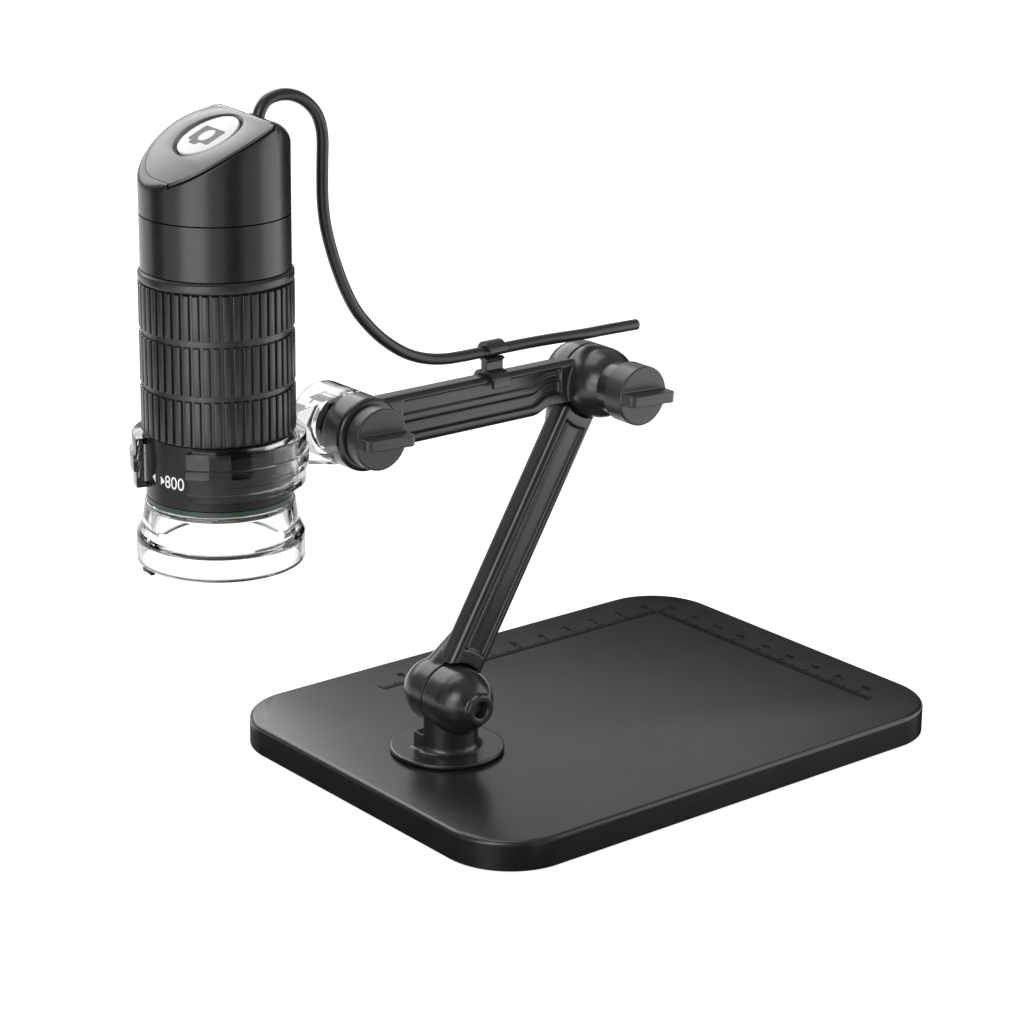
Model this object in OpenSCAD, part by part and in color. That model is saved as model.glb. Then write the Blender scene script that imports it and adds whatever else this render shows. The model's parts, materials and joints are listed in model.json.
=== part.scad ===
// Desk microscope with a USB lead, held by a clear C-ring on an articulated arm stand.
// Millimetres, +Z up. The origin is the centre of the base plate on the table.
// +X runs along the plate's long edge, away from the microscope. -Y is the near side with the knobs.

/* [Base] */
// Length of the base plate along X
plate_w = 159; // [150:1:180]
// Depth of the base plate along Y
plate_d = 118; // [110:1:130]
// Height of the base plate above the table
plate_h = 8.2; // [8:0.2:10]
// Corner radius of the base plate in plan
plate_r = 18.7; // [16:0.1:24]
// Radius along the top edge of the base plate
plate_edge = 1.2; // [0.8:0.1:1.6]
// Wall thickness of the base shell
shell_wall = 2.2; // [1.8:0.1:2.6]

/* [Stand] */
// Place of the post along X
post_x = -48.9; // [-54:0.1:-44]
// Height of the base hinge above the plate
hinge_rise = 15.2; // [14.8:0.1:18]
// Radius of the flange under the post
flange_r = 15; // [13:0.5:17]
// Radius of the base knuckle
base_knuckle_r = 8.6; // [8.2:0.1:9.2]
// Radius of the elbow knuckle and of the head knuckle
arm_knuckle_r = 9.3; // [8.8:0.1:10]
// Length of the lower arm between its hinge axes
lower_len = 90; // [80:1:110]
// Angle of the lower arm above the table
lower_angle = 59.4; // [56:0.1:70]
// Length of the upper arm between its hinge axes
upper_len = 76; // [72:1:90]
// Thickness of both arms across Y
arm_t = 6.3; // [5.8:0.1:7]
// Width of the lower arm
lower_arm_w = 11.6; // [11:0.1:13]
// Width of the upper arm
upper_arm_w = 13.2; // [12.6:0.1:14]

/* [Knobs] */
// Radius of a knob
knob_r = 7.8; // [7:0.1:8.6]
// Length of the elbow knob's drum
elbow_knob_len = 6.5; // [6:0.5:8]
// Length of the head knob's drum
head_knob_len = 4.3; // [4:0.1:6]
// Height of a knob's wing above its face
wing_h = 4.3; // [3:0.1:5]
// Thickness of a knob's wing
wing_t = 2.8; // [2.2:0.1:3.6]

/* [Microscope] */
// Distance from the head knuckle's axis to the microscope's axis
head_reach = 38.8; // [38:0.1:44]
// Radius of the rear housing
housing_r = 17.6; // [17.2:0.1:18]
// Radius over the ribs of the focus ring
focus_r = 18.2; // [17.9:0.1:18.8]
// Number of ribs in each row of the focus ring
rib_count = 48; // [40:1:60]
// Radius of the front barrel that the clear ring grips
barrel_r = 17.4; // [17.2:0.1:17.6]
// Outer radius of the clear C-ring
ring_r = 20.55; // [20.2:0.05:21.5]
// Height of the clear C-ring
ring_h = 12; // [10:0.5:12.5]
// Largest radius of the clear shade
shade_r = 20.1; // [19.6:0.05:20.8]
// Height of the clear shade
shade_h = 15; // [13:0.5:18]
// Turn of the slanted top about the microscope's axis, in degrees
top_turn = -5.7; // [-20:0.1:20]
// Radius of the snapshot button
button_r = 7.75; // [6.5:0.05:8.2]
// Travel of the snapshot button
button_travel = 0.6; // [0.3:0.1:0.7]
// Travel of the lens carriage to each side
focus_travel = 6; // [4:0.5:7]

/* [Cord] */
// Diameter of the USB lead
cord_d = 2.9; // [2.4:0.1:3.2]

/* [Hidden] */
$fn = 72;
eps = 0.01;
// Gap between pieces that move past each other
move_gap = 0.3;
// Half of the gap between the two lobes of a knuckle
split = 0.2;
// Radial play of a pin or a tube that turns or slides in its bore
play = 0.08;
// Radial slack of a screw in its own bore
slack = 0.04;

// Levels of the base, from the table up
pad_t = 0.8;
shell_z = 0.4;
cover_t = 1.2;
cover_top = pad_t + cover_t;
roof_t = 2;
roof_z = plate_h - roof_t;
weight_t = roof_z - cover_top - 0.5;
screw_in = 14;

// The swivel under the post
flange_z = plate_h + move_gap;
flange_t = 1.1;
spigot_r = 5;
swivel_boss_r = 8.4;
swivel_boss_z = roof_z - 1.9;
washer_t = 0.5;
spigot_z = swivel_boss_z - move_gap;
neck_r = 8.1;
neck_back = 4;

// Hinge axes in the XZ plane
hinge_z = plate_h + hinge_rise;
elbow_x = post_x + lower_len * cos(lower_angle);
elbow_z = hinge_z + lower_len * sin(lower_angle);
wrist_x = elbow_x - upper_len;
wrist_z = elbow_z;
head_x = wrist_x - head_reach;

// Knuckles: drum length of each lobe before its dome, and the flat ends on the near side
base_near = 5.4;
base_far = 4.5;
elbow_near = 5;
elbow_far = 3;
elbow_flat = 15;
elbow_collar_r = 6.8;
base_collar_r = 4.15;
wrist_flat = 7.7;
wrist_round = 1.4;
pin_r = 2.1;
bolt_r = 2.5;
bolt_head_r = 4.2;
bolt_head_t = 2.4;
// The clear cup of the head knuckle and the hexagon head inside it
cup_y = 13.4;
cup_floor = 6.4;
cup_r = 7.9;
hex_r = 6.9;
hex_t = 4.4;
friction_r = 6;
friction_t = 1.1;
lobe_gap = 0.7;
// How far the upper arm can fold down from the pose shown, in degrees, and the gap left there
fold_stop = 3;
arm_gap = 0.4;

// Arms: rims around a recessed channel; places along the upper arm count from the elbow
rim_round = 1.9;
channel_depth = 1.2;
channel_w = 7.4;
ridge_w = 1.1;
ridge_h = 0.6;
low_rim = 2.9;
top_rim = 1.4;
ridge_z = -0.4;
ridge_wide = 1.9;
step_x = -15.4;
step_rise = 2.2;
step_run = 5.6;
web_left = -62.5;
web_right = -11.6;

// Cable clip on the upper arm
clip_x = -32.1;
clip_w = 5.5;
clip_t = 1.2;
clip_jaw = 2.9;
cord_rise = 12.6;

// Levels of the microscope above the lower rim of the shade
head_z = wrist_z - 24.7;
led_z = shade_h + 0.2;
led_t = 1.2;
barrel_z = led_z + led_t + 0.2;
barrel_h = 15.2;
ring_mid = 25.4;
// Middle and half width of the C-ring's opening, in degrees round the microscope's axis
ring_gap = 189.7;
ring_open = 24.7;
focus_z = barrel_z + barrel_h + move_gap;
focus_h = 38.9;
mid_z = focus_z + focus_h + move_gap;
mid_h = 12.6;
cap_z = mid_z + mid_h + 0.2;
cap_h = 22.2;
wall = 1.6;
tube_r = 14.65;
tube_bore = 13.2;
tube_top = mid_z + 2.8;
carriage_z = focus_z + 8;
carriage_h = 16;
pin_z = carriage_z + carriage_h / 2;
focus_turn = 60;
groove_steps = 22;
// Turn of the first rib, in degrees
rib_phase = 3.1;
board_z = mid_z + 6.8;
screw_circle = 13;
led_circle = 11.6;
led_w = 3;
// Length of the shapes that cut right through the head
through = 60;

// Slanted top: a large arc up to the crest, then a small arc down the back
crest_u = 8;
crest_z = cap_z + cap_h;
face_r = 81;
crest_slope = 19;
face_u = crest_u + face_r * sin(crest_slope);
face_z = crest_z - face_r * cos(crest_slope);
back_r = 14;
back_slope = 16.7;
back_u = crest_u - back_r * sin(back_slope);
back_z = crest_z - back_r * cos(back_slope);
plate_t = 1;
cap_floor = 4.5;
// Outline of the face plate from above, and the dark gap under its near edge
plan_r = 15.6;
plan_seam = 0.9;
corner_r = 8.2;
plate_back = 0.35;
plate_rim = 0.55;
rim_in = 1.5;
button_u = -1.6;
button_sink = 0.3;
button_t = 1.3;
button_z = face_z + sqrt(face_r * face_r - (button_u - face_u) * (button_u - face_u));
button_tilt = asin((face_u - button_u) / face_r);
stem_r = 3;
stem_end = 6.2;
switch_t = 2.8;
board_drop = stem_end + button_travel + move_gap + switch_t;
gland_r = 2.4;
gland_u = 11.1;
gland_v = -0.9;
gland_z = back_z + sqrt(back_r * back_r - (gland_u - back_u) * (gland_u - back_u));
gland_lean = 24;

// Route of the lead from the gland, over the loop and through the clip to its cut end
cord_r = cord_d / 2;
cord_sides = 8;
cord_route = [
    [-108.1, -1.9, 178.4], [-106.9, -2, 181.1], [-106, -2, 183.1], [-104.3, -2, 184.8],
    [-101.4, -2, 185.6], [-98, -2, 185.4],
    [-94.8, -2, 184.2], [-92.2, -2, 182.3], [-90.2, -2, 179.8], [-89.1, -2, 176.8], [-88.7, -2, 173.5],
    [-88.8, -2, 169], [-88.9, -2, 164], [-88.8, -2, 159], [-88.2, -2, 154], [-87, -2, 149],
    [-85.2, -2, 143.5], [-82.4, -2, 136.8], [-79, -1.8, 131], [-74.4, -1.2, 125.9], [-69.2, -0.6, 121.4],
    [-63, -0.2, 117.4], [-57, 0, 115], [-51, 0, 113.8], [-45, 0, 113.5], [-39, 0, 113.5],
    [-33, 0, 113.5], [-25, 0, 113.5], [-15, 0, 113.3], [-5, 0, 112.9], [4, 0, 112.8], [13.4, 0, 112.6]
];

// Shared shapes

// A rectangle with round corners, centred
module round_rect(w, d, r) {
    square([w - 2 * r, d], center = true);
    square([w, d - 2 * r], center = true);
    for (x = [-1, 1], y = [-1, 1])
        translate([x * (w / 2 - r), y * (d / 2 - r)]) circle(r);
}

// Half of a section with a round top corner
module soft_section(reach, h, edge) {
    square([reach - edge, h]);
    square([reach, h - edge]);
    translate([reach - edge, h - edge]) circle(edge, $fn = 32);
}

// A plate with round corners in plan and a round top edge
module soft_plate(w, d, h, r, edge) {
    for (x = [-1, 1], y = [-1, 1])
        translate([x * (w / 2 - r), y * (d / 2 - r), 0]) rotate_extrude() soft_section(r, h, edge);
    for (side = [0, 1]) {
        mirror([0, side, 0]) translate([r - w / 2, 0, 0]) rotate([90, 0, 90])
            linear_extrude(w - 2 * r) soft_section(d / 2, h, edge);
        mirror([side, 0, 0]) translate([0, d / 2 - r, 0]) rotate([90, 0, 0])
            linear_extrude(d - 2 * r) soft_section(w / 2, h, edge);
    }
}

// A cylinder along Y from y0 to y1
module rod_y(r, y0, y1) {
    translate([0, y1, 0]) rotate([90, 0, 0]) cylinder(r = r, h = y1 - y0);
}

// A tube standing on z0
module tube(r_out, r_in, z0, h) {
    translate([0, 0, z0]) difference() {
        cylinder(r = r_out, h = h);
        translate([0, 0, -1]) cylinder(r = r_in, h = h + 2);
    }
}

// Places children at the corner screws of the base
module at_base_screws() {
    for (x = [-1, 1], y = [-1, 1])
        translate([x * (plate_w / 2 - screw_in), y * (plate_d / 2 - screw_in), 0]) children();
}

// Half a knuckle on the far side with a dome from y on
module dome_lobe(r, y) {
    rotate([-90, 0, 0]) rotate_extrude() {
        translate([0, split]) square([r, y - split]);
        intersection() {
            translate([0, y]) circle(r);
            translate([0, y]) square([r, r]);
        }
    }
}

// Half a knuckle on the near side with a dome from y on and a collar around the bolt
module collar_lobe(r, y, collar_r, flat) {
    rotate([90, 0, 0]) rotate_extrude() {
        translate([0, split]) square([r, y - split]);
        intersection() {
            translate([0, y]) circle(r);
            translate([0, y - eps]) square([r, r]);
        }
        translate([0, y - eps]) square([collar_r, flat - y]);
    }
}

// Half a knuckle on the near side that ends in a flat with a round edge
module flat_lobe(r, flat, edge) {
    rotate([90, 0, 0]) rotate_extrude() {
        translate([0, split]) square([r, flat - edge - split]);
        translate([0, split]) square([r - edge, flat - split]);
        translate([r - edge, flat - edge]) circle(edge, $fn = 48);
    }
}

// Frames of the three hinges and of the microscope
module at_base_hinge() {
    translate([post_x, 0, hinge_z]) children();
}

module at_elbow() {
    translate([elbow_x, 0, elbow_z]) children();
}

module at_wrist() {
    translate([wrist_x, 0, wrist_z]) children();
}

module at_head() {
    translate([head_x, 0, head_z]) children();
}

module along_lower_arm() {
    at_base_hinge() rotate([0, -lower_angle, 0]) children();
}

// Base

module base_shell() {
    color("#3c3c3e") difference() {
        union() {
            difference() {
                translate([0, 0, shell_z])
                    soft_plate(plate_w, plate_d, plate_h - shell_z, plate_r, plate_edge);
                translate([0, 0, -1]) linear_extrude(roof_z + 1)
                    round_rect(plate_w - 2 * shell_wall, plate_d - 2 * shell_wall, plate_r - shell_wall);
            }
            at_base_screws() translate([0, 0, cover_top + 0.1])
                cylinder(r = 4, h = roof_z - cover_top);
            translate([post_x, 0, swivel_boss_z])
                cylinder(r = swivel_boss_r, h = roof_z - swivel_boss_z + eps);
        }
        translate([post_x, 0, 0]) cylinder(r = spigot_r + play, h = plate_h + 1);
        at_base_screws() cylinder(r = 1.25 + slack, h = roof_z - 0.3);
    }
}

module base_weight() {
    inset = 7;
    color("#9a9da0") translate([0, 0, cover_top + 0.2]) difference() {
        linear_extrude(weight_t)
            round_rect(plate_w - 2 * inset, plate_d - 2 * inset, plate_r - inset);
        translate([0, 0, -1]) {
            at_base_screws() cylinder(r = 4.5, h = weight_t + 2);
            translate([post_x, 0, 0]) cylinder(r = swivel_boss_r + 1, h = weight_t + 2);
        }
    }
}

module base_cover() {
    inset = shell_wall + 0.2;
    color("#2c2c2e") translate([0, 0, pad_t]) difference() {
        linear_extrude(cover_t)
            round_rect(plate_w - 2 * inset, plate_d - 2 * inset, plate_r - inset);
        at_base_screws() {
            translate([0, 0, -1]) cylinder(r = 1.5, h = cover_t + 2);
            translate([0, 0, -1]) cylinder(r = 2.6, h = 1.7);
        }
    }
}

module base_pad() {
    inset = shell_wall + 1;
    color("#1e1e1f") linear_extrude(pad_t - 0.02)
        round_rect(plate_w - 2 * inset, plate_d - 2 * inset, plate_r - inset);
}

module base_screws() {
    color("silver") at_base_screws() {
        translate([0, 0, pad_t + 0.05]) cylinder(r = 2.4, h = 0.6);
        translate([0, 0, pad_t + 0.6]) cylinder(r = 1.25, h = roof_z - pad_t - 1.4);
    }
}

// Post and swivel

module swivel_post() {
    color("#3c3c3e") difference() {
        union() {
            translate([post_x, 0, 0]) {
                translate([0, 0, flange_z]) cylinder(r = flange_r, h = flange_t);
                translate([0, 0, spigot_z]) cylinder(r = spigot_r, h = flange_z - spigot_z + eps);
                post_neck();
            }
            at_base_hinge() {
                collar_lobe(base_knuckle_r, base_near, base_collar_r, base_near + base_knuckle_r + 0.25);
            }
        }
        at_base_hinge() {
            rod_y(pin_r + slack, -40, 1);
            rod_y(friction_r + 0.1, -split - friction_t, 1);
            far_lobe_room(base_knuckle_r);
        }
        translate([post_x, 0, 0]) cylinder(r = 2 + slack, h = flange_z + 4.5);
    }
}

// Round in front, straight-sided behind, with a rolled foot; only the front half carries the lobe
module post_neck() {
    foot = 1.6;
    foot_z = flange_z + flange_t - eps;
    translate([0, 0, foot_z]) linear_extrude(hinge_z - foot_z) intersection() {
        circle(neck_r);
        translate([-neck_r, -neck_r]) square([2 * neck_r, neck_r - split]);
    }
    low = hinge_z - base_knuckle_r - lobe_gap - foot_z;
    translate([-neck_r, -split - eps, foot_z]) cube([2 * neck_r, neck_back + split, low]);
    translate([0, 0, foot_z]) rotate([0, 0, 180]) rotate_extrude(angle = 180) difference() {
        translate([neck_r - eps, 0]) square([foot, foot]);
        translate([neck_r + foot, foot]) circle(foot, $fn = 32);
    }
}

// Room around a far lobe, on the far side of the split
module far_lobe_room(r) {
    rod_y(r + lobe_gap, -split, 40);
}

// Room around a near lobe, on the near side of the split
module near_lobe_room(r) {
    rod_y(r + lobe_gap, -40, split);
}

module swivel_screw() {
    head_t = 1.2;
    color("silver") translate([post_x, 0, 0]) {
        translate([0, 0, spigot_z - washer_t - head_t]) cylinder(r = 3.6, h = head_t);
        translate([0, 0, spigot_z - washer_t - eps]) cylinder(r = 2, h = flange_z + 4 - spigot_z);
    }
}

module swivel_washer() {
    color("silver") translate([post_x, 0, 0])
        tube(swivel_boss_r - 0.6, 2 + slack, spigot_z - washer_t, washer_t - 0.02);
}

module base_pivot_bolt() {
    head_y = base_far + 3.8;
    color("#6e7072") at_base_hinge() {
        rod_y(pin_r, -base_near - base_knuckle_r + 2.2, head_y + 1);
        rod_y(4, head_y, head_y + 2);
    }
}

module base_friction_washer() {
    color("#c9c4b4") at_base_hinge() difference() {
        rod_y(friction_r, -split - friction_t + 0.02, -split + 0.1);
        rod_y(pin_r + slack, -10, 10);
    }
}

// Lower arm

module lower_arm() {
    color("#3c3c3e") difference() {
        along_lower_arm() {
            difference() {
                lower_bar();
                near_lobe_room(base_knuckle_r);
                translate([lower_len, 0, 0]) near_lobe_room(arm_knuckle_r);
                upper_arm_room();
            }
            dome_lobe(base_knuckle_r, base_far);
            translate([lower_len, 0, 0]) dome_lobe(arm_knuckle_r, elbow_far);
            lobe_blend(base_knuckle_r, base_far);
            difference() {
                translate([lower_len, 0, 0]) mirror([1, 0, 0]) lobe_blend(arm_knuckle_r, elbow_far);
                upper_arm_room();
            }
        }
        at_base_hinge() {
            rod_y(pin_r + play, -1, 30);
            rod_y(4 + move_gap, base_far + 3.5, 30);
        }
        at_elbow() {
            rod_y(bolt_r + slack, -1, 30);
            rod_y(bolt_head_r + 0.1, elbow_far + 3.4, 30);
        }
    }
}

// Straight bar with a channel and a ridge in its near face
module lower_bar() {
    channel_end = arm_knuckle_r + lobe_gap + 3;
    difference() {
        rotate([90, 0, 90]) linear_extrude(lower_len) round_rect(arm_t, lower_arm_w, rim_round);
        difference() {
            translate([0, -arm_t, -channel_w / 2])
                cube([lower_len, arm_t / 2 + channel_depth, channel_w]);
            for (x = [0, lower_len])
                translate([x, 0, 0]) rod_y(channel_end, -10, 10);
            translate([0, -arm_t / 2 + channel_depth - ridge_h, 1.2])
                cube([lower_len, ridge_h + 1, ridge_w]);
        }
    }
}

// Room above the lower arm for the edge of the upper arm, folded down to its stop
module upper_arm_room() {
    edge = upper_arm_w / 2 - step_rise + arm_gap;
    translate([lower_len, 0, 0]) rotate([0, lower_angle, 0]) slab_y(-20, 20) rotate(fold_stop)
        translate([-40, -edge]) square([40, 40]);
}

// Cone from a far lobe into the bar
module lobe_blend(r, y) {
    run = 24;
    drop = y - 1.6;
    length = sqrt(run * run + drop * drop);
    translate([0, y - 0.6, 0]) rotate([0, 0, -atan(drop / run)]) rotate([0, 90, 0])
        intersection() {
            cylinder(r1 = r - 0.8, r2 = 2.2, h = length);
            translate([-20, -y + 0.6 + split + 1.4, 0]) cube([40, 40, length]);
        }
}

module elbow_bolt() {
    head_y = elbow_far + 3.5;
    color("#6e7072") at_elbow() {
        rod_y(bolt_head_r, head_y, head_y + bolt_head_t);
        rod_y(bolt_r, -elbow_flat - elbow_knob_len + 1.2, head_y + eps);
    }
}

module elbow_washer() {
    color("#c9c4b4") at_elbow() difference() {
        rod_y(friction_r, -split - friction_t + 0.02, -split + 0.1);
        rod_y(bolt_r + play, -10, 10);
    }
}

// Upper arm

module upper_arm() {
    color("#3c3c3e") at_elbow() difference() {
        union() {
            difference() {
                upper_bar();
                far_lobe_room(arm_knuckle_r);
                translate([-upper_len, 0, 0]) far_lobe_room(arm_knuckle_r);
            }
            collar_lobe(arm_knuckle_r, elbow_near, elbow_collar_r, elbow_flat);
            translate([-upper_len, 0, 0]) flat_lobe(arm_knuckle_r, wrist_flat, wrist_round);
        }
        for (x = [0, -upper_len]) translate([x, 0, 0]) {
            rod_y(bolt_r + play, -40, 10);
            rod_y(friction_r + 0.1, -split - friction_t, 10);
        }
    }
}

// Bar with a step under its elbow end and a recessed channel in its near face
module upper_bar() {
    half = upper_arm_w / 2;
    near = -arm_t / 2;
    difference() {
        translate([-upper_len, 0, 0]) rotate([90, 0, 90]) linear_extrude(upper_len - 4)
            round_rect(arm_t, upper_arm_w, rim_round);
        slab_y(-10, 10) below_step(-half);
        slab_y(near - 1, near + channel_depth - ridge_h) upper_channel();
        slab_y(near - 1, near + channel_depth) difference() {
            upper_channel();
            difference() {
                below_step(ridge_z + ridge_wide);
                below_step(ridge_z);
            }
        }
    }
}

// Extrudes a side view (x by z) across Y from y0 to y1
module slab_y(y0, y1) {
    translate([0, y1, 0]) rotate([90, 0, 0]) linear_extrude(y1 - y0) children();
}

// Outline of the upper arm's channel, side view
module upper_channel() {
    difference() {
        translate([web_left, -upper_arm_w / 2])
            square([web_right - web_left, upper_arm_w - top_rim]);
        below_step(-upper_arm_w / 2 + low_rim);
    }
}

// Everything under a line at height z that steps up near the elbow in a smooth curve, side view
module below_step(z) {
    rise = [
        for (t = [0 : 0.1 : 1])
            [step_x - step_run + step_run * t, z + step_rise * (1 - cos(180 * t)) / 2]
    ];
    polygon(concat(
        [[-upper_len - 20, z - 30], [-upper_len - 20, z]],
        rise,
        [[30, z + step_rise], [30, z - 30]]
    ));
}

module head_washer() {
    color("#c9c4b4") at_wrist() difference() {
        rod_y(friction_r, -split - friction_t + 0.02, -split + 0.1);
        rod_y(bolt_r + play, -10, 10);
    }
}

// Saddle over the arm's top rim and an open hook for the lead
module cable_clip() {
    top = upper_arm_w / 2;
    hook_r = cord_r + 0.1;
    out = arm_t / 2 + clip_t;
    color("#2a2a2c") at_elbow() translate([clip_x - clip_w / 2, 0, 0]) rotate([90, 0, 90]) difference() {
        union() {
            linear_extrude(clip_w) translate([0, top - clip_jaw])
                round_rect(2 * out, 2 * (clip_jaw + clip_t), rim_round + clip_t);
            translate([-1.1, top, 0]) cube([2.2, cord_rise - top, clip_w]);
            translate([0, cord_rise, 0]) cylinder(r = hook_r + clip_t, h = clip_w);
        }
        translate([0, 0, -1]) {
            linear_extrude(clip_w + 2)
                translate([0, top - 10]) round_rect(arm_t + 0.1, 20.1, rim_round + 0.05);
            translate([-20, top - clip_jaw - 20, 0]) cube([40, 20, clip_w + 2]);
            translate([0, cord_rise, 0]) cylinder(r = hook_r, h = clip_w + 2);
            translate([0, cord_rise, 0]) rotate([0, 0, 200]) translate([0, -1.05, 0])
                cube([6, 2.1, clip_w + 2]);
        }
    }
}

// Knobs

// A drum with a wing across its face; the drum starts at the near-side distance y0
module knob(y0, length, depth) {
    wing_r = 1.6;
    face = y0 + length;
    rotate([90, 0, 0]) difference() {
        union() {
            translate([0, 0, y0]) rotate_extrude() {
                square([knob_r - 0.4, length]);
                square([knob_r, length - 0.4]);
                translate([knob_r - 0.4, length - 0.4]) circle(0.4, $fn = 24);
            }
            rotate([0, 0, -3]) translate([0, wing_t / 2, face - eps]) rotate([90, 0, 0])
                linear_extrude(wing_t) {
                    translate([-knob_r + 0.3, 0]) square([2 * knob_r - 0.6, wing_h - wing_r]);
                    translate([-knob_r + 0.3 + wing_r, 0])
                        square([2 * (knob_r - 0.3 - wing_r), wing_h]);
                    for (x = [-1, 1])
                        translate([x * (knob_r - 0.3 - wing_r), wing_h - wing_r]) circle(wing_r, $fn = 32);
                }
        }
        translate([0, 0, y0 - 1]) cylinder(r = bolt_r + play, h = depth + 1);
    }
}

module elbow_knob() {
    color("#2e2e30") at_elbow() knob(elbow_flat + move_gap, elbow_knob_len, elbow_knob_len - 1);
}

module head_knob() {
    color("#2e2e30") at_wrist() knob(wrist_flat + move_gap, head_knob_len, head_knob_len - 1);
}

// Clear C-ring with the far lobe of the head knuckle

module clamp_ring() {
    ring_z = ring_mid - ring_h / 2;
    lip = 1.5;
    bead_w = 4.1;
    color("#dfe9ee", 0.45) difference() {
        union() {
            at_head() difference() {
                union() {
                    tube(ring_r, barrel_r + 1.2, ring_z, ring_h);
                    tube(ring_r - 0.5, barrel_r + 0.1, ring_z, lip);
                    tube(ring_r - 0.5, barrel_r + 0.1, ring_z + ring_h - lip, lip);
                    tube(ring_r + 0.6, ring_r - 0.5, ring_mid - bead_w / 2, bead_w);
                }
                translate([0, 0, ring_z - 1]) rotate([0, 0, ring_gap]) linear_extrude(ring_h + 2)
                    polygon([[0, 0], [40, -40 * tan(ring_open)], [40, 40 * tan(ring_open)]]);
            }
            difference() {
                at_wrist() ring_lug();
                at_head() translate([0, 0, ring_z - 5]) cylinder(r = ring_r - 0.6, h = ring_h + 10);
            }
            at_wrist() mirror([0, 1, 0]) flat_lobe(arm_knuckle_r, cup_y, 1);
        }
        at_wrist() {
            rod_y(bolt_r + slack, -1, 30);
            rod_y(cup_r, cup_floor, 30);
        }
    }
}

// Tapering bar from the ring to the lobe, on the far side of the split
module ring_lug() {
    lug_y = 6.2;
    root = -head_reach + ring_r - 2;
    side = arm_knuckle_r - 0.2;
    slab_y(split, lug_y)
        polygon([[root, -ring_h / 2 + 0.7], [-1.5, -side], [-1.5, side], [root, ring_h / 2 + 0.2]]);
}

module head_bolt() {
    color("#6e7072") at_wrist() {
        slab_y(cup_floor + 0.02, cup_floor + hex_t) circle(hex_r, $fn = 6);
        rod_y(bolt_r, -wrist_flat - head_knob_len + 1.2, cup_floor + 1);
    }
}

// Rear of the microscope

// Turns from the microscope's frame to the frame of its slanted top: u uphill, v across
module at_top() {
    at_head() rotate([0, 0, top_turn]) children();
}

// Side view of the slanted top (u by z), shrunk by inset below its faces
module top_profile(inset, z0) {
    side = 30;
    intersection() {
        translate([face_u, face_z]) circle(face_r - inset, $fn = 360);
        union() {
            translate([-side, z0]) square([side + crest_u, through]);
            translate([back_u, back_z]) circle(back_r - inset);
            translate([0, z0]) square([side, back_z - z0]);
        }
        translate([-side, z0]) square([2 * side, through]);
    }
}

// Extrudes a side view (u by z) across v
module across(width) {
    translate([0, width / 2, 0]) rotate([90, 0, 0]) linear_extrude(width) children();
}

// Points of an arc round a centre, from one angle to another, without the first one
function arc_points(centre, r, from, to, steps) = [
    for (i = [1 : steps]) let (a = from + (to - from) * i / steps) centre + r * [cos(a), sin(a)]
];

// Outline of the face plate seen from above, grown by c: open to the near side, round on the far side
module plate_plan(c) {
    seam_u = crest_u - plan_seam;
    corner_u = seam_u - corner_r;
    corner_v = sqrt(pow(plan_r - corner_r, 2) - corner_u * corner_u);
    meet = atan2(corner_v, corner_u);
    polygon(concat(
        [[-plan_r - c, -through / 2], [seam_u + c, -through / 2], [seam_u + c, corner_v]],
        arc_points([corner_u, corner_v], corner_r + c, 0, meet, 18),
        arc_points([0, 0], plan_r + c, meet, 180, 24)
    ));
}

// The face plate's layer: under the face, plate_t deep
module plate_layer(top_inset, low_inset) {
    across(through) difference() {
        top_profile(top_inset, cap_z);
        translate([face_u, face_z]) circle(face_r - low_inset, $fn = 360);
    }
}

// Places children on the button's axis, with local +Z out of the face
module at_button() {
    at_top() translate([button_u, 0, button_z]) rotate([0, -button_tilt, 0]) children();
}

// Places children on the axis of the lead's exit
module at_gland() {
    at_top() translate([gland_u, gland_v, gland_z]) rotate([0, gland_lean, 0]) children();
}

module rear_cap() {
    well = button_sink + button_t + button_travel + move_gap;
    color("#38383a") difference() {
        union() {
            at_top() difference() {
                intersection() {
                    translate([0, 0, cap_z]) cylinder(r = housing_r, h = through);
                    across(through) top_profile(0, cap_z);
                }
                intersection() {
                    translate([0, 0, cap_z - 1]) cylinder(r = housing_r - wall, h = through);
                    across(through) top_profile(cap_floor, cap_z - 1);
                }
                intersection() {
                    translate([0, 0, cap_z]) linear_extrude(through) plate_plan(0.08);
                    plate_layer(-1, plate_t);
                }
            }
            at_button() for (v = [-1, 1])
                translate([0, v * 6, 0.02 - board_drop]) cylinder(r = 1.4, h = board_drop - cap_floor + 1);
            tube_at_seam();
        }
        at_button() {
            translate([0, 0, -8]) cylinder(r = stem_r + move_gap, h = 10);
            translate([0, 0, -well]) cylinder(r = button_r + move_gap, h = 10);
        }
        at_gland() translate([0, 0, -8]) cylinder(r = gland_r + slack, h = 12);
    }
}

// Lip that centres the cap in the mid housing
module tube_at_seam() {
    at_head() {
        tube(housing_r - wall - 0.1, housing_r - wall - 1.1, cap_z - 2, 2.2);
        tube(housing_r - wall + 0.1, housing_r - wall - 1.1, cap_z, 1.5);
    }
}

module mid_housing() {
    color("#38383a") at_head() difference() {
        union() {
            tube(housing_r, housing_r - wall, mid_z, mid_h);
            tube(housing_r - 1, tube_r + slack, mid_z, 3);
            tube(housing_r - 1, 11, mid_z + 3, 1.8);
            at_board_screws() translate([0, 0, mid_z + 4.7]) cylinder(r = 1.8, h = board_z - mid_z - 4.72);
        }
        at_board_screws() translate([0, 0, mid_z + 4]) cylinder(r = 0.9 + slack, h = 6);
    }
}

module at_board_screws() {
    for (a = [90, 210, 330]) rotate([0, 0, a]) translate([screw_circle, 0, 0]) children();
}

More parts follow.
